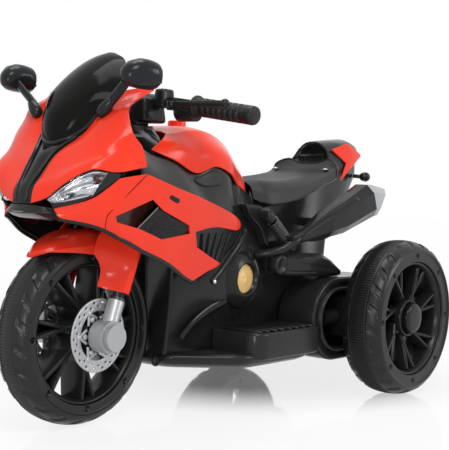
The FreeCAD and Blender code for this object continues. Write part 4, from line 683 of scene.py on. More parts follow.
def rim(name, centre, facing, body, radius, half, hub_radius, hub_out, hub_in, blade):
    """A ring with stepped lips, swept twin spokes and a hub; a blade is two depths and a half width."""
    look = (RIM, "black_plastic", body)
    lip = [(half, radius), (half + 0.4, radius - 1.2), (half - 0.4, radius - 3.4), (half - 3, radius - 4.2),
           (half - 6, radius - 6.5), (half - 13, radius - 7.2)]
    profile = lip + [(-along, far) for along, far in reversed(lip)] + [(-half, radius), (half, radius)]
    rows = [ring_round(centre + ACROSS * along * MM, ACROSS, far * MM, 144) for along, far in profile]
    parts = [dress(name + "_ring", grid_mesh(name + "_ring", rows, closed=True, looped=True), look)]
    for k in range(SPOKE_PAIRS):
        turn = 2 * math.pi * k / SPOKE_PAIRS
        for kind, start, end in SPOKE_ANGLES:
            parts.append(spoke(f"{name}_{kind}_{k}", centre, turn + math.radians(start),
                               turn + math.radians(end), hub_radius - 2, radius - 5, blade, look, facing))
    hub = [(-hub_in, 5.4), (-hub_in, hub_radius), (hub_out - 3, hub_radius), (hub_out, hub_radius - 3),
           (hub_out, 5.4)]
    parts.append(lathe(name + "_hub", hub, centre, ACROSS * facing, look, count=64))
    return join(name, parts)


DISC_FACE = 44.0
DISC_RINGS = [33.0, 36.0, 38.6, 41.2, 43.6, 46.0, 50.0]
DISC_CELLS = 72
DISC_ARMS = 6
RIVET = [(-0.5, 3.8), (1.6, 3.8), (2.6, 3.0), (3.0, 1.5), (3.1, 0)]


def brake_disc(side, facing):
    """A drilled ring on a star of curved arms with rivets."""
    face = FRONT_AXLE + ACROSS * facing * DISC_FACE * MM
    holes = [(2, k) for k in range(0, DISC_CELLS, 4)] + [(4, k) for k in range(2, DISC_CELLS, 4)]
    rows = [ring_round(face, ACROSS, radius * MM, DISC_CELLS) for radius in DISC_RINGS]
    name = f"disc_ring_{side}"
    ring = dress(name, grid_mesh(name, rows, FRONT_AXLE, closed=True, skip=holes), DISC, "brake_discs")
    thicken(ring, 3)
    soften = ring.modifiers.new("soften", "SUBSURF")
    soften.levels = 2
    soften.render_levels = 2
    star = []
    sunk = ACROSS * facing * 1.4
    for k in range(DISC_ARMS):
        angle = 2 * math.pi * (k + 0.5) / DISC_ARMS
        out = Vector((math.sin(angle), 0, math.cos(angle)))
        along = Vector((math.cos(angle), 0, -math.sin(angle)))
        tip = face + (out * 35 - sunk) * MM
        for lean in (-1, 1):
            foot = face + (out * 21 + along * lean * 9 - sunk) * MM
            route = smooth_line([foot, foot.lerp(tip, 0.5), tip], 4)
            star.append(swept(f"disc_arm_{side}_{k}_{lean}", route, oval(2.4, 1.5, 8), DISC, up=ACROSS))
        for spot in (tip, face + (out * 25 - sunk) * MM):
            name = f"disc_rivet_{side}_{len(star)}"
            star.append(lathe(name, RIVET, spot, ACROSS * facing, DISC, count=20))
    join(f"disc_carrier_{side}", star)


def front_wheel():
    body = "front_wheel"
    tyre("front_tyre_tread", FRONT_AXLE, 30.0, 95.3, body, "front_tyre")
    wheel = rim("front_rim_swept", FRONT_AXLE, 1, body, radius=95.0, half=23.0, hub_radius=22.0,
                hub_out=40.0, hub_in=40.0, blade=(0, 0, 21))
    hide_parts("front_rim")
    for side, facing in SIDES:
        brake_disc(side, facing)


def rear_wheel(side, facing):
    body = f"rear_wheel_{side}"
    centre = REAR_AXLE + ACROSS * facing * REAR_TRACK / 2 * MM
    tyre(f"rear_tyre_tread_{side}", centre, 36.0, 91.3, body, f"rear_tyre_{side}")
    wheel = rim(f"rear_rim_swept_{side}", centre, facing, body, radius=91.0, half=29.0, hub_radius=25.0,
                hub_out=16.0, hub_in=29.0, blade=(-5, 12, 14))
    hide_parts(f"rear_rim_{side}")
    collar = [(4, 18), (4, 30.5), (21, 30.5), (23, 29), (23.4, 27.4), (21.6, 26.4), (21.6, 18)]
    cap = [(18.0, 24.6), (29.6, 24.6), (31.6, 23.6), (32.8, 21), (33.4, 15), (33.6, 0)]
    way = ACROSS * facing
    lathe(f"hub_collar_{side}", collar, centre, way, (RIM, "black_plastic", body), count=64)
    lathe(f"hub_cap_{side}", cap, centre, way, (BLACK_GLOSS, "gloss_black", body), count=64)


# Front fairing
COWL = [
    [(660, 18, 300), (655, 40, 308), (648, 64, 327), (626, 91, 346), (596, 107, 343), (549, 115, 351)],
    [(657, 18, 318), (650, 42, 326), (640, 66, 341), (618, 91, 356), (590, 106, 358), (553, 115, 364)],
    [(643, 18, 336), (636, 42, 344), (624, 68, 356), (606, 91, 367), (583, 106, 372), (559, 114, 378)],
    [(622, 22, 364), (615, 44, 370), (606, 68, 378), (595, 89, 385), (583, 103, 389), (571, 111, 391)],
    [(592, 38, 391), (593, 50, 396), (590, 66, 402), (584, 80, 407), (577, 91, 411), (569, 99, 415)],
    [(577, 53, 418), (576, 60, 420), (575, 69, 422), (573, 79, 424), (570, 89, 426), (565, 95, 428)],
    [(556, 63, 446), (551, 69, 450), (542, 75, 453), (531, 80, 455), (519, 83, 455.5), (506, 85, 455)],
]
FAIRING = [
    [(646, 46, 294), (618, 87, 309), (592, 108.5, 335), (548, 115.5, 342), (484, 112.5, 325),
     (432, 107.5, 313.5), (421, 106, 310.5), (376, 100, 299), (332, 93.5, 285.5), (317, 90, 278)],
    [(645.5, 47, 292), (616, 87, 301), (592, 103, 287), (530, 110, 309), (507, 110, 294), (450, 106.2, 274),
     (434, 105, 275), (382, 101, 283), (330, 93.5, 275), (315, 90, 273)],
    [(645, 48, 290), (614, 86, 293), (588, 101, 279), (548, 106, 270), (505, 105, 256), (446, 104.2, 262.5),
     (433, 103.3, 265), (386, 100, 271), (328, 93, 265.5), (317, 90, 268)],
    [(644, 49, 288), (612, 85.5, 286), (584, 100, 273), (543, 104, 260), (498, 103, 246), (434, 100, 247),
     (425, 99, 243.5), (363, 92, 219), (340, 91, 215), (330, 90, 213)],
    [(643, 51, 285), (609, 84, 280), (580, 98.5, 266), (540, 101.5, 251), (490, 100, 235), (436, 96, 225),
     (427, 95, 221.5), (392, 91, 207), (370, 90, 203), (360, 89, 201)],
    [(642, 52, 283), (606, 82, 274), (575, 96, 259), (535, 99, 242), (482, 97, 223), (440, 92, 202),
     (436, 91.6, 200.5), (422, 90, 195), (400, 89, 192), (390, 88, 190)],
]
FAIRING_FOLDS = {"crease_rows": (1, 2), "crease_cols": (2, 3, 4, 5)}
FAIRING_OPEN = [(1, 2), (1, 3), (1, 4), (2, 6), (2, 7), (2, 8), (3, 7), (3, 8), (4, 7), (4, 8)]
FAIRING_SEAM = [(0.0, 3.0), (0.1, 2.3), (0.2, 1.72), (0.4, 1.55), (0.7, 1.42), (0.98, 1.35)]
WINDSHIELD = [
    [(606, 19, 383), (609, 10, 380), (611, 0, 378)],
    [(591, 36.5, 396), (606, 20, 397), (610, 0, 398)],
    [(576, 50.5, 419), (598, 28, 420), (604, 0, 421)],
    [(555, 60, 447), (581, 35, 445), (589, 0, 444)],
    [(535, 57, 468), (557, 33, 470), (566, 0, 470)],
    [(519, 43, 488), (534, 26, 490), (540, 0, 491)],
    [(511.5, 31, 498), (519, 17, 500.8), (522, 0, 501.8)],
    [(506.5, 10, 506.4), (507.4, 5, 507.2), (508, 0, 507.6)],
]
NOSE_TRIM = [
    [(659.5, 17.7, 299), (661, 0, 299)],
    [(656.5, 17.7, 318), (659, 0, 318)],
    [(642.5, 17.7, 336.5), (646, 0, 337)],
    [(621.5, 21.6, 364), (627, 0, 364)],
    [(593, 37.3, 390), (611, 0, 377)],
]
CHIN = [
    [(640, 43.2, 294), (656, 24, 297.6), (660, 0, 298.4)],
    [(645, 45.4, 288), (662, 25, 288), (668, 0, 287)],
    [(624, 56, 281), (640, 30, 281), (646, 0, 281)],
    [(590, 72, 277), (597, 35, 276), (600, 0, 276)],
]
LENS_GRID = [
    [(654.6, 40.8, 307.2), (647.2, 64.3, 326), (625.5, 91.2, 345), (607, 101.7, 343)],
    [(653.5, 45, 303.5), (646, 65, 314), (632.5, 84, 324), (616, 96.5, 328)],
    [(651, 47, 300), (643.5, 61, 302.3), (634, 75, 306), (622, 89, 312)],
]
LAMP_CORNER = [
    [(606.3, 102.2, 343), (598, 106.2, 341.6), (589, 108.4, 340.4)],
    [(614.8, 96.6, 328), (604, 102.8, 333.5), (590, 107.8, 339)],
    [(621.2, 89.6, 312), (608, 100, 324), (591.5, 107.2, 336)],
]
LAMP_SEAL = [
    [(651, 45.5, 300.6), (642.5, 59.8, 303), (633, 73.8, 306.8), (620.5, 88, 312.8), (607, 98.5, 325.5),
     (591, 106, 337)],
    [(645.5, 44.5, 293.5), (635, 62, 299), (625.5, 75.5, 303.8), (616.5, 85.5, 309.5), (605, 96.5, 321),
     (591, 106, 333.5)],
]
CHIN_PLATE = [
    [(643, 33.5, 288.6), (658.5, 24, 289.2), (668.4, 0, 288.2)],
    [(640, 36, 285), (653, 27, 284.8), (661, 0, 284)],
    [(634, 31, 280.4), (640.5, 26, 280.2), (647, 0, 280)],
]
WINDSHIELD_EDGE = [(535, 57, 468), (555, 60, 447), (576, 50.5, 419), (591, 36.5, 396), (606, 19, 383),
                   (611, 0, 378)]
GRILLE_PLATE = [
    [(440, 100, 266), (386, 96, 274), (345, 91, 270), (303, 84, 268)],
    [(430, 96, 248), (385, 90, 240), (345, 86, 243), (316, 82, 246)],
    [(428, 92, 222), (392, 87.3, 213), (366, 86, 214), (340, 80, 226)],
]
GRILLE_VANES = 5
LAMP_RIBS = 13
GRILLE_BAR = [(299, 86, 266), (303, 85.2, 254), (313, 84.6, 242), (330, 86, 228), (347, 88.4, 215),
              (362, 90, 204), (378, 90, 192)]


def intake(side, facing):
    """The insert behind a side opening: a glossy ramp that sinks in and a patterned plate behind it."""
    ramp_rows = [
        [(594, 102, 288.5), (560, 104, 301), (530, 103, 311), (513, 97, 300)],
        [(592, 100.5, 283.5), (562, 98, 286), (537, 94.5, 289), (527, 93, 285)],
        [(589, 99, 277), (572, 98, 272), (556, 96, 268), (546, 94, 266)],
    ]
    panel(f"intake_ramp_{side}", rows_at(ramp_rows, facing), (INTAKE, "patterned_insert", "chassis"),
          "side_intakes", wall=2, steps=6)
    plate_rows = [
        [(553, 103.8, 270), (534, 105.6, 285), (515.5, 106.8, 299.5)],
        [(525, 105, 262), (510, 107.2, 275), (493, 107.6, 288)],
        [(504, 103.8, 254), (487, 105.8, 265.5), (469, 106.2, 280)],
        [(464, 102, 255), (451, 102.8, 265), (437, 102.2, 277)],
    ]
    panel(f"intake_plate_{side}", rows_at(plate_rows, facing), (WEAVE, "patterned_insert", "chassis"),
          "side_intakes", wall=3, steps=6)
    swept(f"intake_fold_{side}", line_at(plate_rows[0], facing), oval(0.8, 0.8, 10),
          (GREY, "patterned_insert", "chassis"))


def grille(side, facing):
    """The louvre plate behind the notch, its slanted vanes and its curved trim bar with an end screw."""
    panel(f"grille_plate_{side}", rows_at(GRILLE_PLATE, facing), HULL, "side_grilles", wall=2, steps=6)
    vanes = []
    for k in range(GRILLE_VANES):
        share = (k + 0.5) / GRILLE_VANES
        top = Vector((420 - 92 * share, (97.5 - 12 * share) * facing, 262 + share))
        low = Vector((412 - 62 * share, (92 - 9 * share) * facing, 228 - 6 * share))
        vanes.append(swept(f"grille_vane_{side}_{k}", [at(*top), at(*top.lerp(low, 0.5)), at(*low)],
                           [(-3, -1.1), (3, -1.1), (3, 1.1), (-3, 1.1)], HULL, up=AHEAD, edge=0.5))
    join(f"grille_vanes_{side}", vanes)
    route = line_at(GRILLE_BAR, facing)
    swept(f"grille_bar_{side}", route, oval(5.0, 3.4, 16), GLOSS, up=ACROSS * facing)
    screw(f"grille_screw_{side}", at(377, 94.5 * facing, 193), ACROSS * facing, 3.2, "chassis")


def screw(name, place, way, radius, body):
    """A pan-head screw with a cross recess."""
    r = radius
    profile = [(-1, r * 0.7), (-0.2, r), (0.5, r), (1.2, r * 0.86), (1.7, r * 0.5), (1.8, r * 0.3),
               (0.9, r * 0.22), (0.8, 0)]
    return lathe(name, profile, place, way, (STEEL, "bright_steel", body), count=24)


def headlight(side, facing):
    """A clear lens with a straight outer cut over a bright stepped reflector, in a dark surround."""
    panel(f"headlight_lens_{side}", rows_at(LENS_GRID, facing), (LENS, "clear_lens", "chassis"),
          "headlight_lenses", wall=1.2, steps=8, edge=0.3)
    panel(f"headlight_corner_{side}", rows_at(LAMP_CORNER, facing), HULL, wall=1.5, steps=6, edge=0.3)
    panel(f"headlight_seal_{side}", rows_at(LAMP_SEAL, facing), HULL, wall=1.5, steps=6, edge=0.3)
    inner = [pushed(LENS_GRID[0], left=-1.5, ahead=-4, up=-3), pushed(LENS_GRID[1], left=-12, ahead=-13),
             pushed(LENS_GRID[2], left=-1.5, ahead=-4, up=2)]
    panel(f"headlight_bowl_{side}", rows_at(inner, facing), REFLECTOR, "headlight_housings", wall=1.2,
          steps=6, edge=0.3)
    ribs = []
    line = line_at(pushed(LENS_GRID[2], left=-4, ahead=-7, up=4), facing, 12)
    for k in range(LAMP_RIBS):
        spot = line[int((0.10 + 0.068 * k) * (len(line) - 1))]
        ribs.append(swept(f"lamp_rib_{side}_{k}",
                          [spot, spot + Vector((-0.003, -0.0015 * facing, 0.005)),
                           spot + Vector((-0.007, -0.0025 * facing, 0.009))], oval(0.9, 0.6, 8), REFLECTOR))
    join(f"lamp_ribs_{side}", ribs)
    for k, (back, lift) in enumerate(((-5, 3), (-9, 8))):
        strip = line_at(pushed(LENS_GRID[1], left=back, ahead=back - 3, up=lift), facing, 8)[5:-3]
        swept(f"lamp_strip_{side}_{k}", strip, oval(1.8, 1.4, 10), (LAMP_STRIP, "silver_paint", "chassis"))
    cut = [(604, 99, 340.5), (613, 93, 326), (619, 87, 313)]
    swept(f"lamp_bar_{side}", line_at(cut, facing, 5), oval(2.4, 1.6, 10),
          (SILVER, "silver_paint", "chassis"))


def front_fairing():
    for side, facing in SIDES:
        panel(f"cowl_skin_{side}", rows_at(COWL, facing), RED_SKIN, f"cowl_{side}")
        panel(f"fairing_skin_{side}", rows_at(FAIRING, facing), RED_SKIN, f"side_fairing_{side}",
              skip=FAIRING_OPEN, **FAIRING_FOLDS)
        hem = line_at(pushed(FAIRING[-1][:8], left=-1.6, ahead=-1, up=-1.5), facing, 8)
        swept(f"fairing_hem_{side}", hem, oval(2.2, 3.0, 12), HULL)
        skin = refined(rows_at(FAIRING, facing), 8, **FAIRING_FOLDS)
        across = len(FAIRING[0]) - 1
        # A thin dark red line raised along the panel seam: painted shadow of the seam's groove.
        seam = [sample(skin, u, v / across) for u, v in FAIRING_SEAM]
        swept(f"fairing_seam_shadow_{side}", smooth_line(seam, 8), oval(0.55, 0.55, 8),
              (SEAM_SHADOW, "red_plastic", "chassis"))
        # The vent's slot is drawn as a dark pad standing a little proud of the skin, not cut open: its dark
        # colour is painted shade of the opening.
        raised_pad(f"fairing_vent_shade_{side}", rows_at(FAIRING, facing), (0.085, 0.457), (0.017, 0.022), 0.5,
                   (CASE, "black_plastic", "chassis"), square=0.45)
        liner = [pushed(row, left=-3.6, ahead=-1) for row in FAIRING]
        panel(f"fairing_liner_{side}", rows_at(liner, facing), HULL, wall=1.2, skip=FAIRING_OPEN, edge=0.3,
              **FAIRING_FOLDS)
        intake(side, facing)
        grille(side, facing)
        headlight(side, facing)
    panel("windshield_skin", whole(WINDSHIELD), (SCREEN, "smoke_screen", "chassis"), "windshield",
          inside=at(500, 0, 420))
    panel("nose_trim_skin", whole(NOSE_TRIM), GLOSS, "nose_trim")
    for side, facing in SIDES:
        rib = [(597, 33, 388.5), (622, 18, 367), (643, 13, 339.5), (656.5, 9.5, 318), (660, 8, 302)]
        route = line_at(rib, facing)
        swept(f"nose_rib_{side}", route, oval(3.2, 2.2, 12), GLOSS)
    panel("chin_skin", whole(CHIN), HULL, "chin_panel", inside=at(600, 0, 300), crease_rows=(1,))
    panel("chin_plate", whole(CHIN_PLATE), (GREY, "grey_plastic", "chassis"), inside=at(600, 0, 300),
          wall=1.5, edge=0.4)
    bed = both_sides(pushed(WINDSHIELD_EDGE, left=-2, ahead=-5, up=-3))
    swept("windshield_bed", line_at(bed, steps=8), oval(7, 4.5, 14), HULL)
    edge = both_sides(WINDSHIELD_EDGE)
    swept("windshield_rim", line_at(edge, steps=8), oval(3.2, 3.0, 14), GLOSS)


MIRROR_CENTRE = Vector((569, 118, 469))
MIRROR_STEPS = 28
MIRROR_RINGS = [(29.5, -4, -3, 1, 1), (28.8, -4, -3, 5.5, 6), (25.5, -3.4, -2, 10.6, 11),
                (17, -2, -0.5, 15.6, 16.6), (4, -0.6, 0.6, 18.8, 19.4), (-8, 0, 0.2, 20.6, 19.4),
                (-16.5, 0, -0.6, 21.4, 18.6), (-18, 0, -0.8, 20.6, 17.4)]


def mirror_shell(side, facing):
    """A drop-shaped mirror housing on a flat tapered stalk with a spreading foot."""
    rings = []
    for ahead, left, up, wide, high in MIRROR_RINGS:
        ring = []
        for k in range(MIRROR_STEPS):
            turn = 2 * math.pi * k / MIRROR_STEPS
            y = bulged(math.cos(turn), 0.9) * wide
            z = bulged(math.sin(turn), 0.9) * high
            ring.append(at(MIRROR_CENTRE.x + ahead, (MIRROR_CENTRE.y + left + y) * facing,
                           MIRROR_CENTRE.z + up + z))
        rings.append(ring)
    loft(f"mirror_shell_{side}", rings, MIRROR, f"mirror_{side}", edge=0.8)
    stalk = [(582, 60.5, 419), (579, 66, 427), (578, 78, 438), (578.5, 92, 450), (579, 104, 461),
             (579, 110, 466)]
    route = line_at(stalk, facing, 5)
    widths = [1.0 + 0.25 * (1 - k / (len(route) - 1)) ** 2 for k in range(len(route))]
    swept(f"mirror_stalk_{side}", route, oval(4.2, 6.2, 16), MIRROR, scales=widths)


def mirror_foot(side, facing):
    """The rounded boot of a mirror stalk on the cowl."""
    boot = [(-8, 0), (-7.6, 3), (-5.6, 6), (-1, 8.4), (5, 8.8), (12, 7.8), (19, 6), (22, 4.6)]
    foot = at(581.5, 62 * facing, 420.5)
    head = at(578.5, 79 * facing, 438.5)
    lathe(f"mirror_foot_{side}", boot, foot, head - foot, MIRROR, count=32)


def mirrors():
    for side, facing in SIDES:
        mirror_shell(side, facing)
        mirror_foot(side, facing)
    paint_node("mirror_glasses", MIRROR_FACE)


# Tank, knee panels, seat and tail
TANK = [
    [(499, 76, 376), (474, 69, 388), (446, 53, 399), (432, 30, 403), (428, 0, 404)],
    [(455, 84, 361), (440, 80, 382), (424, 56, 402), (416, 32, 408), (413, 0, 409)],
    [(415, 86, 346), (408, 83, 376), (400, 57, 406), (396, 33, 412), (394, 0, 413)],
    [(373, 88, 356), (372, 84, 379), (370, 56, 407), (368, 33, 412), (367, 0, 414)],
    [(336, 85, 347), (335, 80, 371), (335, 52, 400), (335, 30, 407), (335, 0, 410)],
    [(302, 72, 331), (300, 68, 352), (298, 44, 385), (296, 26, 394), (295, 0, 398)],
    [(272, 62, 322), (268, 56, 336), (266, 36, 360), (264, 22, 370), (263, 0, 375)],
    [(259, 52, 319), (255, 46, 329), (253, 30, 342), (252, 18, 347), (251, 0, 350)],
]
KNEE = [
    [(556, 84, 388), (505, 77, 371), (455, 80.6, 360), (415, 82.6, 345), (373, 84.6, 355), (338, 81.6, 346),
     (308, 70, 326)],
    [(553, 100, 362), (505, 97, 347), (450, 93, 338), (412, 89, 328), (372, 88, 328), (336, 85, 315),
     (308, 76, 305)],
    [(550, 111, 336), (484, 108.3, 319), (432, 103.5, 307.5), (400, 99, 299), (372, 95.5, 292),
     (336, 90, 281), (316, 84, 280)],
]
SEAT = [
    [(247, 59, 310.5), (246, 53.5, 327), (245, 42, 335), (245, 20, 336.5), (245, 0, 337)],
    station(232, (76, 304), (70, 324), (56, 338), (24, 339), (0, 339)),
    station(182, (83, 308), (76, 326), (58, 339.5), (26, 336), (0, 335)),
    station(122, (81, 323), (74, 335), (56, 345), (26, 343.3), (0, 343)),
    station(76, (74, 336), (68.5, 345), (54, 351), (26, 351.7), (0, 352)),
    [(40, 67.5, 344), (37, 66, 356.5), (35.5, 54, 360), (35.5, 24, 360.3), (35.5, 0, 360.3)],
    [(28, 64, 348), (28, 61.5, 368), (18, 42, 378), (21, 18, 371.5), (21, 0, 371)],
]
TAIL_COVER = [
    [(25.8, 61, 346), (20.3, 52.5, 366), (12.3, 38, 380), (8, 29.5, 394), (8.5, 16, 405), (9, 0, 408)],
    [(0, 56, 347.5), (-3, 51, 358), (-6, 42, 376.5), (-8, 30.5, 396), (-9, 18, 406.5), (-10, 0, 410.5)],
    [(-38, 49, 363), (-38, 44.5, 374), (-38, 38.3, 387.5), (-38, 31.5, 402), (-38, 20, 409.5),
     (-38, 0, 413)],
    [(-74, 37, 379), (-74.5, 35.5, 385), (-75, 33, 393), (-75.5, 28.5, 402), (-76, 19, 410),
     (-77, 0, 415.5)],
    [(-96, 24.5, 388), (-97, 24, 393), (-97, 22.5, 398), (-98, 19, 403), (-98, 11, 408), (-99, 0, 411)],
]
TAIL_NICHE = [
    [(13, 33.5, 376.5), (17, 18, 371), (17, 0, 371)],
    [(1, 29, 387), (-9, 15, 386), (-12, 0, 386)],
    [(5, 22, 396), (4, 11.5, 402.3), (3, 0, 404.2)],
]
TAIL_PANEL = [
    [(1, 35, 395.5), (-18, 35.5, 400.5), (-45, 36.5, 406), (-83, 38.5, 391)],
    [(-25, 49, 373.5), (-36, 48, 377.5), (-54, 45, 383.5), (-84, 39.3, 389)],
    [(15, 63.5, 342), (-10, 60, 356), (-40, 53, 369), (-82, 40.5, 386.5)],
]
BODY = [
    [(423, 0.3, 89), (423, 0.3, 96), (422, 0.3, 124), (421, 0.3, 186), (424, 0.3, 240), (430, 0.3, 262),
     (431, 0.3, 268)],
    [(425, 0.3, 89), (437, 54, 89), (437, 58, 124), (437, 63, 186), (437, 64, 240), (437, 60, 265),
     (437, 30, 270)],
    station(400, (0.3, 89), (55, 89), (58, 124), (70, 186), (74, 240), (76, 290), (57, 294)),
    station(340, (0.3, 89), (55, 89), (57.5, 124), (73, 164), (76, 240), (76, 292), (57, 296)),
    station(286, (0.3, 89), (55, 89), (57.5, 124), (73, 164), (76, 240), (71, 298), (54, 304)),
    station(252, (0.3, 89), (55, 89), (57.5, 124), (71, 164), (74, 240), (64, 292), (48, 296)),
    station(232, (0.3, 89), (55, 89), (57.5, 124), (70, 164), (73, 240), (56, 311), (44, 333)),
    station(182, (0.3, 89), (55, 89), (57.5, 124), (66, 186), (66, 240), (70, 314), (53, 330)),
    station(122, (0.3, 89), (55, 89), (57.5, 124), (66, 186), (66, 240), (68, 326), (53, 337)),
    station(60, (0.3, 112), (52, 112), (56, 140), (58, 186), (50, 240), (55, 343), (43, 348)),
    station(14, (0.3, 262), (38, 262), (41, 268), (44, 277), (47, 292), (49, 350), (38, 352)),
    station(-30, (0.3, 290), (34, 290), (38, 297), (41, 308), (43, 325), (44, 355), (32, 359)),
    station(-78, (0.3, 342), (26, 342), (29, 346), (31, 352), (32, 360), (31.5, 374), (22, 377)),
]


def sample(surface, u, v):
    """A point of a dense grid at shares of its two directions."""
    i = min(max(u, 0.0), 1.0) * (len(surface) - 1)
    j = min(max(v, 0.0), 1.0) * (len(surface[0]) - 1)
    i0 = min(int(i), len(surface) - 2)
    j0 = min(int(j), len(surface[0]) - 2)
    near = surface[i0][j0].lerp(surface[i0][j0 + 1], j - j0)
    far = surface[i0 + 1][j0].lerp(surface[i0 + 1][j0 + 1], j - j0)
    return near.lerp(far, i - i0)


PAD_STEPS = 40
PAD_RINGS = [(1.0, -0.6), (1.0, 0.0), (0.97, 0.6), (0.92, 0.92), (0.75, 1.0), (0.4, 1.0), (0.02, 1.0)]


def raised_pad(name, rows, middle, half, rise, look, square=1.0):
    """A low cushion on a surface, oval or squarer: its rim lies in the surface, its top stands proud."""
    surface = refined(rows, 8)
    rings = []
    for share, height in PAD_RINGS:
        ring = []
        for k in range(PAD_STEPS):
            turn = 2 * math.pi * k / PAD_STEPS
            u = middle[0] + half[0] * share * bulged(math.sin(turn), square)
            v = middle[1] + half[1] * share * bulged(math.cos(turn), square)
            spot = sample(surface, u, v)
            tangent_u = sample(surface, u + 0.02, v) - sample(surface, u - 0.02, v)
            tangent_v = sample(surface, u, v + 0.02) - sample(surface, u, v - 0.02)
            out = tangent_u.cross(tangent_v).normalized()
            if out.dot(spot - HEART) < 0:
                out = -out
            ring.append(spot + out * rise * height * MM)
        rings.append(ring)
    return loft(name, rings, look)


def upper_body():
    panel("tank_skin", whole(TANK), RED_SKIN, "tank_cover", crease_cols=(2, 6))
    cap = [(-3, 16), (0.6, 16), (1.6, 15), (2, 13.6), (8.4, 13.2), (9.6, 12.2), (10, 10.8), (9.2, 9.4),
           (9.2, 0)]
    lathe("filler_cap", cap, at(362, 0, 412.5), UP, RED_SKIN, count=48, edge=0.3)
    for side, facing in SIDES:
        knee = rows_at(KNEE, facing)
        panel(f"knee_skin_{side}", knee, HULL, "knee_panels")
        raised_pad(f"knee_pad_{side}", knee, (0.30, 0.60), (0.22, 0.13), 2.2,
                   (RUBBER, "grip_rubber", "chassis"))
        panel(f"tail_panel_skin_{side}", rows_at(TAIL_PANEL, facing), RED_SKIN, "tail_panels",
              inside=at(0, 0, 370), crease_rows=(1,))
        screw(f"seat_screw_{side}", at(42, 51 * facing, 360.6), UP, 5.0, "chassis")
        foot = at(-68, 35.9 * facing, 352)
        lamp = at(-82, 52 * facing, 351)
        bar_between(f"indicator_stalk_{side}", foot, lamp, 3.4, HULL)
        bulb = [(-10, 3), (-8.6, 5.4), (-5, 7.4), (-0.6, 8.4), (-0.6, 7.8), (0.4, 7.8), (0.4, 8.4),
                (3.4, 7.8), (6.6, 5.6), (8.2, 2.6), (8.5, 0)]
        lathe(f"indicator_lamp_{side}", bulb, lamp, lamp - foot, (LAMP, "lamp_dark", "chassis"),
              "rear_indicators", count=36)
    panel("seat_skin", whole(SEAT), (SEAT_GRAIN, "seat_pad", "chassis"), "seat", wall=4, edge=1.6,
          inside=at(150, 0, 250))
    hem = both_sides([row[0] for row in SEAT] + SEAT[-1][1:])
    swept("seat_piping", line_at(hem, steps=8), oval(1.5, 1.5, 10), (BLACK_GLOSS, "seat_pad", "chassis"))
    for side, facing in SIDES:
        filler = [
            [(330, 64, 364), (314, 60, 358), (301, 57, 353), (286, 51, 347), (272, 45, 341),
             (258.5, 40, 331), (248.5, 42, 328)],
            [(330, 74, 338), (314, 70.5, 329), (301, 70.2, 329), (286, 65.2, 325), (272, 60.6, 320.8),
             (258.5, 51.4, 317.6), (248.5, 54, 312)],
            [(330, 76, 305), (314, 74, 303), (301, 73, 304.5), (286, 70, 304), (272, 66.5, 302.5),
             (258.5, 64, 301), (248.5, 63, 300)],
            [(330, 78, 283), (314, 77, 282), (301, 76, 284), (286, 74, 285.5), (272, 71.3, 286),
             (258.5, 69.4, 285), (248.5, 68, 284)],
        ]
        panel(f"waist_skin_{side}", rows_at(filler, facing), HULL)
    tail_inside = at(-40, 0, 365)
    panel("tail_skin", whole(TAIL_COVER), HULL, "tail_cover", inside=tail_inside)
    panel("tail_niche_skin", whole(TAIL_NICHE), HULL, "tail_cover", inside=tail_inside, wall=1.5, edge=0.4)
    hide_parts("seat_screws")


# Main body, footboards and rear casings
FOOT_BACK = 177
FOOT_FRONT = 336
FOOT_IN = 58.5
FOOT_OUT = 146.5
FOOT_RINGS = [(80.4, 2.6), (82, 0.6), (84.6, 0), (115.4, 0), (118.4, 0.8), (119.8, 2.6), (119.8, 5),
              (118.2, 6.4)]
FOOT_RIBS = 8
FOOT_RIB_PITCH = 18.3
FOOT_RIB_UP = 118.8
BELLY_FRONT = 432
BELLY_STEP = 352
BELLY_BACK = 186
BELLY_WIDE = 136
BELLY_NARROW = 56
BELLY_RINGS = [(88.4, 1), (85, 0), (79, 0.6), (73.5, 5), (69, 13), (66, 24), (64.5, 36)]
HEEL_STATIONS = [(226, 256, 250), (206, 262, 248.5), (176, 268, 247.5), (146, 276, 248), (128, 277, 253),
                 (100, 272, 262)]
PEDAL_HINGE = (263, -95.5, 129.8)
LUG_SHIFT = 22.6
PIN_HALF = 24.4
HOUSING_FRONT = 115
SHOCK_LEFT = 100
COIL_RADIUS = 8.2
COIL_TURNS = 13


def footboard(side, facing):
    """A foot plate with rounded outer corners, a raised lip and a row of tread ribs."""
    rings = []
    for up, inset in FOOT_RINGS:
        low, high = FOOT_BACK + inset, FOOT_FRONT - inset
        near, far = FOOT_IN + inset, FOOT_OUT - inset
        line = rounded_outline([(low, near, 4), (high, near, 4), (high, far, 26), (low, far, 15)])
        rings.append([at(p.x, p.y * facing, up) for p in line])
    loft(f"footboard_skin_{side}", rings, HULL, f"footboard_{side}")
    rib = [(-3.4, -1), (3.4, -1), (3.0, 2.4), (2.0, 3.6), (-2.0, 3.6), (-3.0, 2.4)]
    ribs = []
    for k in range(FOOT_RIBS):
        ahead = FOOT_BACK + 15 + FOOT_RIB_PITCH * k
        route = [at(ahead, y * facing, FOOT_RIB_UP) for y in (66, 68, 137, 139)]
        ribs.append(swept(f"foot_rib_{side}_{k}", route, rib, HULL, scales=[0.5, 1, 1, 0.5]))
    join(f"foot_ribs_{side}", ribs)


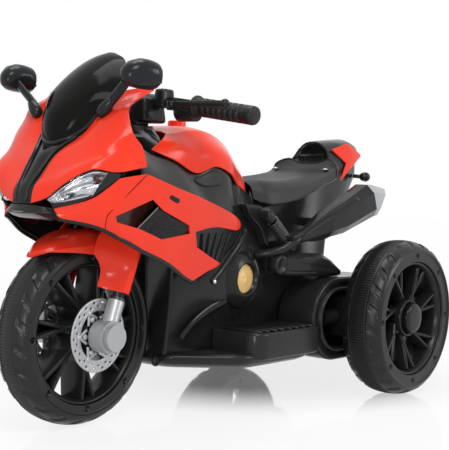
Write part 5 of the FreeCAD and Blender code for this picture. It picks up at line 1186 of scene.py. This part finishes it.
def belly():
    """The tray below the body with rounded corners and a drawn-in bottom edge, and the eye at its front."""
    rings = []
    for up, inset in BELLY_RINGS:
        front, step, back = BELLY_FRONT - inset, BELLY_STEP - inset, BELLY_BACK + inset
        wide, narrow = BELLY_WIDE - inset, BELLY_NARROW - inset
        line = rounded_outline([(front, -narrow, 14), (front, narrow, 14), (step, wide, 20),
                                (back, wide, 16), (back, -wide, 16), (step, -wide, 20)])
        rings.append([at(p.x, p.y, up) for p in line])
    loft("belly_skin", rings, HULL, "belly_pan")
    for side, facing in SIDES:
        ring = ring_round(at(434, 38 * facing, 78), ACROSS, 5.4 * MM, 24)
        loop_bar(f"belly_eye_{side}", ring, oval(2.4, 3.0, 10), ACROSS, HULL)


def pedal_lugs():
    """The two ears and the pin that carry the accelerator pedal."""
    ahead, left, up = PEDAL_HINGE
    for name, shift in (("inner", LUG_SHIFT), ("outer", -LUG_SHIFT)):
        rounded_box(f"pedal_lug_{name}", (10.5, 4, 16), at(ahead, left + shift, up - 4), HULL, edge=1.4)
    bar_between("pedal_pin", at(ahead, left - PIN_HALF, up), at(ahead, left + PIN_HALF, up), 2.5,
                (STEEL, "bright_steel", "chassis"))


def stadium(back, front, up, radius, left):
    """A closed line of two half circles and the straights between them."""
    line = []
    for middle, start in ((back, 0.5), (front, -0.5)):
        for k in range(17):
            turn = math.pi * (start + k / 16)
            line.append(at(middle + radius * math.cos(turn), left, up + radius * math.sin(turn)))
    return line


def rear_trim(side, facing):
    """Lips of the axle housing, trims of the swing arm and the shock, pipe and heel of the muffler."""
    lip = [(-4.4, -1.5), (4.4, -1.5), (4.4, 1.2), (2.8, 2.8), (-2.8, 2.8), (-4.4, 1.2)]
    loop_bar(f"housing_lip_{side}", stadium(0, HOUSING_FRONT, AXLE_UP, 59.5, 128.3 * facing), lip,
             ACROSS * facing, HULL)
    mouth = [(2.4, -10), (-10, -10), (-10, -1), (-3.4, 0), (-2.6, 1.4), (-2.6, 10.6), (-1.2, 12), (1.2, 12),
             (2.4, 10.6)]
    route = stadium(0, HOUSING_FRONT, AXLE_UP, 47.5, 124.5 * facing)[::facing]
    loop_bar(f"housing_mouth_{side}", route, mouth, ACROSS * facing, HULL)
    cap = [(-6, 15), (9.6, 15), (11.4, 13.8), (12, 12), (12, 9.4), (10.6, 8.4), (10.6, 0)]
    lathe(f"arm_cap_{side}", cap, at(235, 98 * facing, 212.5), ACROSS * facing, HULL)
    lip_line = [(246, 99.2, 204), (228, 102.6, 201.4), (210, 105.6, 199.8), (188, 109, 198.8),
                (168, 112, 198.2), (150, 114.4, 197.2)]
    swept(f"arm_lip_{side}", line_at(lip_line, facing), oval(2.2, 3.4, 12), HULL)
    facet = [(192, 111, 217), (172, 115.6, 217.6), (150, 118.2, 216), (128, 119, 212.6),
             (112, 118.6, 207.6)]
    route = line_at(facet, facing)
    swept(f"arm_facet_{side}", route, [(-1.6, -6), (1.4, -6), (2.4, -2), (1.6, 6), (-1.6, 6)], HULL,
          scales=[0.5 + 0.5 * math.sin(math.pi * k / (len(route) - 1)) for k in range(len(route))],
          edge=0.4)
    bracket = [
        [(302, 88, 303), (262, 88, 299), (247, 88, 286), (244, 88, 241)],
        [(301, 88, 299), (291, 88, 287), (264, 88, 266), (251, 88, 243)],
    ]
    panel(f"shock_bracket_{side}", rows_at(bracket, facing), HULL, wall=13, inside=at(270, 0, 270),
          edge=1.2)
    edge_line = line_at(pushed(bracket[1], left=0.6), facing)
    swept(f"bracket_lip_{side}", edge_line, oval(1.7, 1.7, 10), GLOSS)
    pipe = [(205, 118.4, 254), (217, 117, 247), (235, 107, 236), (250, 88, 229), (256, 74, 227)]
    swept(f"muffler_pipe_{side}", line_at(pipe, facing), oval(6.4, 6.4, 16), HULL)
    top = at(266, SHOCK_LEFT * facing, 290)
    low = at(204, SHOCK_LEFT * facing, 240)
    boot = [(0, 5), (0.4, 7.4), (1.4, 8.2), (14, 8.2), (15.4, 7.4), (16, 5)]
    lathe(f"shock_boot_{side}", boot, top, low - top, HULL, count=32)
    axis = (low - top).normalized()
    route = coil(top + axis * 18 * MM, top + axis * 76 * MM, COIL_RADIUS * MM, COIL_TURNS)
    swept(f"shock_coil_{side}", route, oval(1.75, 1.75, 10), (SPRING, "black_steel", "chassis"),
          "shock_springs")
    heel = []
    for ahead, high, low_edge in HEEL_STATIONS:
        ring = [(104, high), (122, high), (124.6, low_edge + 6), (120, low_edge), (108, low_edge),
                (104, low_edge + 5)]
        heel.append([at(ahead, y * facing, z) for y, z in ring])
    loft(f"muffler_heel_{side}", heel, HULL, edge=1.2)
    strip = [(206, 123.3, 257.8), (176, 126.4, 272.4), (140, 130.6, 288.3), (100, 133, 302.9),
             (70, 134.6, 315.4)]
    route = line_at(strip, facing)
    swept(f"muffler_strip_{side}", route,
          [(-4.4, -1), (4.4, -1), (4.0, 0.9), (3.2, 1.4), (-3.2, 1.4), (-4.0, 0.9)], GLOSS,
          up=Vector((0, facing, 1)).normalized())


KEPT_NODES = [
    (BLACK,
     ("axle_housing_left", "axle_housing_right", "swing_arms", "mufflers", "accelerator_pedal",
      "shock_dampers", "steering_head")),
    (SILVER, ("muffler_tips",)),
    (STEEL, ("rear_axle",)),
    (CASE, ("drive_units", "battery")),
    (GREY, ("dashboard", "direction_switch", "charge_socket")),
    (BUTTON, ("power_button",)),
]


def main_body():
    for side, facing in SIDES:
        panel(f"body_skin_{side}", rows_at(BODY, facing), HULL, f"body_{side}", steps=6, wall=3,
              inside=at(250, 20 * facing, 230), crease_rows=(1,), crease_cols=(1, 5))
        ahead, left, up = COVER_SPOT
        place = at(ahead, left * facing, up)
        boss = [(-9, 46), (-3, 43), (2, 37), (5.6, 31), (7.4, 27), (8, 25.4), (8, 24.2), (7.2, 23.4),
                (-1, 23)]
        lathe(f"cover_boss_{side}", boss, place, ACROSS * facing, HULL, count=72)
        disc = [(-1, 22.2), (0.5, 22.2), (1.0, 21), (1.0, 9), (1.6, 8), (2.2, 6), (2.2, 3), (1.6, 2),
                (1.6, 0)]
        lathe(f"cover_disc_{side}", disc, place, ACROSS * facing, (GOLD, "gold_plastic", "chassis"),
              "engine_covers", count=72)
        blade = [(413, 66, 111), (388, 67, 131), (360, 68, 146), (338, 70, 155), (319, 72, 161)]
        route = line_at(blade, facing)
        last = len(route) - 1
        swept(f"swoosh_{side}", route, oval(2.6, 7.5, 16), GLOSS,
              scales=[0.55 + 0.45 * math.sin(math.pi * (0.1 + 0.8 * k / last)) for k in range(last + 1)])
        corner = [(436, 55.5, 92), (436.5, 59.5, 124), (436.5, 64.5, 186), (436.5, 65.5, 240),
                  (452, 68, 258)]
        swept(f"body_corner_{side}", line_at(corner, facing), oval(3.6, 3.6, 14), HULL, up=AHEAD)
        footboard(side, facing)
        rear_trim(side, facing)
    heel = [(-62, 18), (-61, 24), (-57, 27.4), (-34, 28), (-32, 26.4), (32, 26.4), (34, 28), (57, 27.4),
            (61, 24), (62, 18)]
    lathe("body_heel", heel, at(54, 0, 189), ACROSS, HULL, count=56)
    pedal_lugs()
    belly()
    for finish, names in KEPT_NODES:
        for name in names:
            paint_node(name, finish)


# Fork, mudguard and handlebar
FENDER_STATIONS = [(50, 1.5, 0.994), (56, 15, 0.955), (64, 28.5, 0.885), (75, 37, 0.815), (87, 40, 0.77),
                   (101, 40, 0.75), (116, 40, 0.76)]
FORK_COVER_STATIONS = [(61, 24, 10.5, 15.4), (82, 26, 10.5, 15.6), (91, 33, 11, 15.6), (100, 46, 11, 15.6),
                       (124, 47, 12, 15), (159.5, 28, 12, 13)]
SHROUD_STEPS = 36
SHROUD_RINGS = [(410, 25, 22, 28), (404, 27, 22, 31), (394, 46, 22, 37), (382, 66, 20, 40),
                (368, 76, 18, 42)]
ARCH = 140.0
COLUMN_FOOT = 402
LEG = 58.0


def mudguard():
    """The hood over the front tyre and the covers down the fork legs."""
    rows = []
    for angle, half_width, hem in FENDER_STATIONS:
        lean = math.radians(angle)
        out = Vector((math.cos(lean), 0, math.sin(lean)))
        half = [(half_width, ARCH * hem), (half_width * 0.97, ARCH * (0.55 * hem + 0.43)),
                (half_width * 0.6, ARCH * 0.985), (0, ARCH)]
        left = [FRONT_AXLE + (out * far + ACROSS * y) * MM for y, far in half]
        rows.append(left + [Vector((p.x, -p.y, p.z)) for p in reversed(left[:-1])])
    panel("fender_hood", rows, STEER_RED, "front_fender", inside=FRONT_AXLE, crease_cols=(1, 5), wall=1.6,
          edge=0.4)
    for side, facing in SIDES:
        bands = []
        for along, ahead, behind, out in FORK_COVER_STATIONS:
            ring = [(-ahead, -17.8), (-ahead * 0.8, -15), (-ahead * 0.46, -3), (-5, out * 0.86), (2, out),
                    (behind * 0.8, out * 0.74), (behind, 0), (behind, -17.5)]
            bands.append([on_fork(along, facing * (LEG + y), back) for back, y in ring])
        panel(f"fork_cover_{side}", bands, STEER_RED, inside=on_fork(100, facing * (LEG - 14)),
              crease_cols=(3,))


BAR_CENTRE = Vector((0.15584, 0, 0.4304))
BAR_DROP = 0.13
BAR_LIFT = 19.5


def bar_axis(facing):
    """The way of a handlebar half, which drops a little towards its end."""
    return Vector((0.01, facing, -BAR_DROP)).normalized()


def on_bar(along, facing):
    return BAR_CENTRE + Vector((0, 0, BAR_LIFT)) * MM + bar_axis(facing) * along * MM


def grip_skin(side, facing):
    """A ribbed hand grip with an inner flange and a domed end."""
    profile = [(98, 8.4), (98, 15), (98.6, 15.5), (101.6, 15.5), (102.4, 14.8), (104, 13)]
    for k in range(8):
        start = 110 + 10 * k
        profile += [(start, 13), (start + 0.8, 11.6), (start + 2.4, 11.6), (start + 3.2, 13)]
    profile += [(199, 13), (202, 12.2), (203.6, 10.4), (204, 8), (204, 0)]
    lathe(f"grip_skin_{side}", profile, on_bar(0, facing), bar_axis(facing),
          (RUBBER, "grip_rubber", "steering"), f"grip_{side}", count=40)


LEVER_LINE = [(0, -2), (0.5, 12), (0.8, 35), (0.2, 60), (-0.4, 80), (-0.6, 90)]
LEVER_OUTLINE = [(-4.6, -3), (-3.4, -4), (3.4, -4), (4.6, -3), (4.6, 3), (3.4, 4), (-3.4, 4), (-4.6, 3)]
LEVER_BALL = 6.2
LEVER_PIVOT = (0.189843, 0.0824, 0.4384)


def lever(side, facing):
    """A curved brake lever with a ball end."""
    look = (BLACK, "black_steel", f"lever_{side}")
    ahead, left, up = LEVER_PIVOT
    pivot = Vector((ahead, left * facing, up))
    route = [pivot + Vector((x, y * facing, 0)) * MM for x, y in LEVER_LINE]
    swept(f"lever_blade_{side}", smooth_line(route, 5), LEVER_OUTLINE, look, f"brake_lever_{side}")
    turns = [math.radians(angle) for angle in range(-90, 91, 10)]
    ball = [(LEVER_BALL * math.sin(turn), max(LEVER_BALL * math.cos(turn), 0)) for turn in turns]
    lathe(f"lever_ball_{side}", ball, pivot + ACROSS * facing * 92 * MM, ACROSS, look, count=28)
    eye = [(-4, 0), (-4, 7), (-3.4, 7.5), (3.4, 7.5), (4, 7), (4, 0)]
    lathe(f"lever_eye_{side}", eye, pivot, UP, look, count=32)


def column():
    """The cover of the steering stem, its shroud, the bar halves and the cover of their clamp."""
    foot = on_fork((COLUMN_FOOT - AXLE_UP) / math.cos(RAKE))
    cover = [(0, 16.4), (0.6, 18), (30, 18), (32, 17), (40, 15)]
    lathe("column_cover", cover, foot, STEER_UP, STEER_BLACK, count=48)
    rings = []
    for up, half, ahead, behind in SHROUD_RINGS:
        middle = WHEELBASE - (up - AXLE_UP) * math.tan(RAKE)
        ring = []
        for k in range(SHROUD_STEPS):
            turn = 2 * math.pi * k / SHROUD_STEPS
            reach = ahead if math.cos(turn) > 0 else behind
            ring.append(at(middle + reach * math.cos(turn), half * math.sin(turn), up))
        rings.append(ring)
    shroud = dress("column_shroud", grid_mesh("column_shroud", rings, at(462, 0, 385), closed=True), HULL)
    round_edges(thicken(shroud, 2), 0.6)
    rounded_box("clamp_cover", (50, 58, 36), BAR_CENTRE + Vector((6, 0, 2)) * MM, STEER_BLACK, "handlebar",
                edge=6, taper=0.86)
    for side, facing in SIDES:
        bar_between(f"bar_half_{side}", on_bar(4, facing), on_bar(110, facing), 8.0,
                    (BLACK, "black_steel", "steering"))
        place = on_bar(40, facing) + Vector((2, 0, 4)) * MM
        rounded_box(f"bar_perch_{side}", (29, 20, 27), place, STEER_BLACK, edge=4, taper=0.84)
        screw(f"perch_screw_{side}", place + Vector((3, 2 * facing, 13.2)) * MM, UP, 3.4, "steering")


def steering():
    mudguard()
    column()
    for side, facing in SIDES:
        grip_skin(side, facing)
        lever(side, facing)
    for name in ("fork_yoke", "switch_housings"):
        paint_node(name, BLACK)
    paint_node("fork_lowers", SLIDER_PAINT)
    paint_node("front_axle", STEEL)


# Floor, light and camera
FLOOR_REACH = 9.0
SHINE_SPOT = (-0.288, -0.163, 0)
LIGHTS = [
    ("key", (1.3, 1.5, 2.3), (0, 0, 0.2), 1.0, 31),
    ("front", (1.9, 0.9, 0.45), (0, 0, 0.2), 0.45, 8),
    ("fill", (-1.2, 2.2, 1.2), (0, 0, 0.25), 0.8, 15),
    ("top", (-0.1, -0.3, 2.6), (0, 0, 0), 1.2, 21),
]
CAMERA_LENS = 94.495
CAMERA_SPOT = (1.4013, 1.1472, 0.3409)
CAMERA_WAY = Vector((-0.78117, -0.62304, -0.03992))
CAMERA_ROLL = math.radians(2.041)


def floor_material():
    """A pale floor that shows as white, keeps the shadow and is polished near the far rear wheel."""
    paint = Paint("pale_floor")
    tone = paint.ramp(paint.noise(3), (0.93, 0.93, 0.93), (0.95, 0.95, 0.95))
    paint.finish({"Base Color": tone, "Roughness": 0.5, "Specular IOR Level": 0.1})
    white = paint.add("Emission", {"Strength": 1.0})
    fading = paint.reach((0, 0, 0), 1.0, 2.6, 0.86, 1.0)
    share = paint.add("Math", {0: paint.seen(), 1: fading}, operation="MULTIPLY")
    pale = paint.mix(share.outputs["Value"], paint.shader.outputs["BSDF"], white.outputs["Emission"])
    polish = paint.add("BsdfGlossy", {"Roughness": 0.05})
    gleam = paint.reach(SHINE_SPOT, 0.20, 0.46, 0.85, 0.04)
    polished = paint.mix(gleam, pale, polish.outputs["BSDF"])
    paint.feed(paint.nodes["Material Output"], "Surface", polished)
    return paint.made


def ground():
    mesh = bpy.data.meshes.new("floor")
    far = FLOOR_REACH
    mesh.from_pydata([(-far, -far, 0), (far, -far, 0), (far, far, 0), (-far, far, 0)], [], [(0, 1, 2, 3)])
    floor = bpy.data.objects.new("floor", mesh)
    scene.collection.objects.link(floor)
    mesh.materials.append(floor_material())


def sky():
    """Soft light all round that shows as white."""
    world = bpy.data.worlds.new("studio")
    scene.world = world
    world.use_nodes = True
    shading = Shading(world.node_tree)
    soft = shading.nodes["Background"]
    shading.feed(soft, "Color", (1, 1, 1, 1))
    shading.feed(soft, "Strength", 0.5)
    white = shading.add("Background", {"Color": (1, 1, 1, 1), "Strength": 1.0})
    both = shading.mix(shading.seen(), soft.outputs["Background"], white.outputs["Background"])
    shading.feed(shading.nodes["World Output"], "Surface", both)


def light(name, spot, aim, wide, watts):
    lamp = bpy.data.lights.new(name, "AREA")
    lamp.shape = "SQUARE"
    lamp.size = wide
    lamp.energy = watts
    holder = bpy.data.objects.new(name, lamp)
    holder.location = spot
    holder.rotation_euler = (Vector(aim) - Vector(spot)).to_track_quat("-Z", "Y").to_euler()
    scene.collection.objects.link(holder)


def camera():
    lens = bpy.data.cameras.new("photo_angle")
    lens.lens = CAMERA_LENS
    lens.sensor_width = 36
    lens.sensor_fit = "AUTO"
    lens.clip_start = 0.05
    forward = CAMERA_WAY.normalized()
    level = forward.cross(UP).normalized()
    rise = level.cross(forward)
    right = level * math.cos(CAMERA_ROLL) + rise * math.sin(CAMERA_ROLL)
    up = rise * math.cos(CAMERA_ROLL) - level * math.sin(CAMERA_ROLL)
    turned = Matrix((right, up, -forward)).transposed().to_4x4()
    holder = bpy.data.objects.new("photo_angle", lens)
    holder.matrix_world = Matrix.Translation(CAMERA_SPOT) @ turned
    scene.collection.objects.link(holder)
    scene.camera = holder


def studio():
    ground()
    sky()
    for values in LIGHTS:
        light(*values)
    camera()
    scene.view_settings.view_transform = "Standard"


front_wheel()
for side, facing in SIDES:
    rear_wheel(side, facing)
front_fairing()
mirrors()
upper_body()
main_body()
steering()
studio()
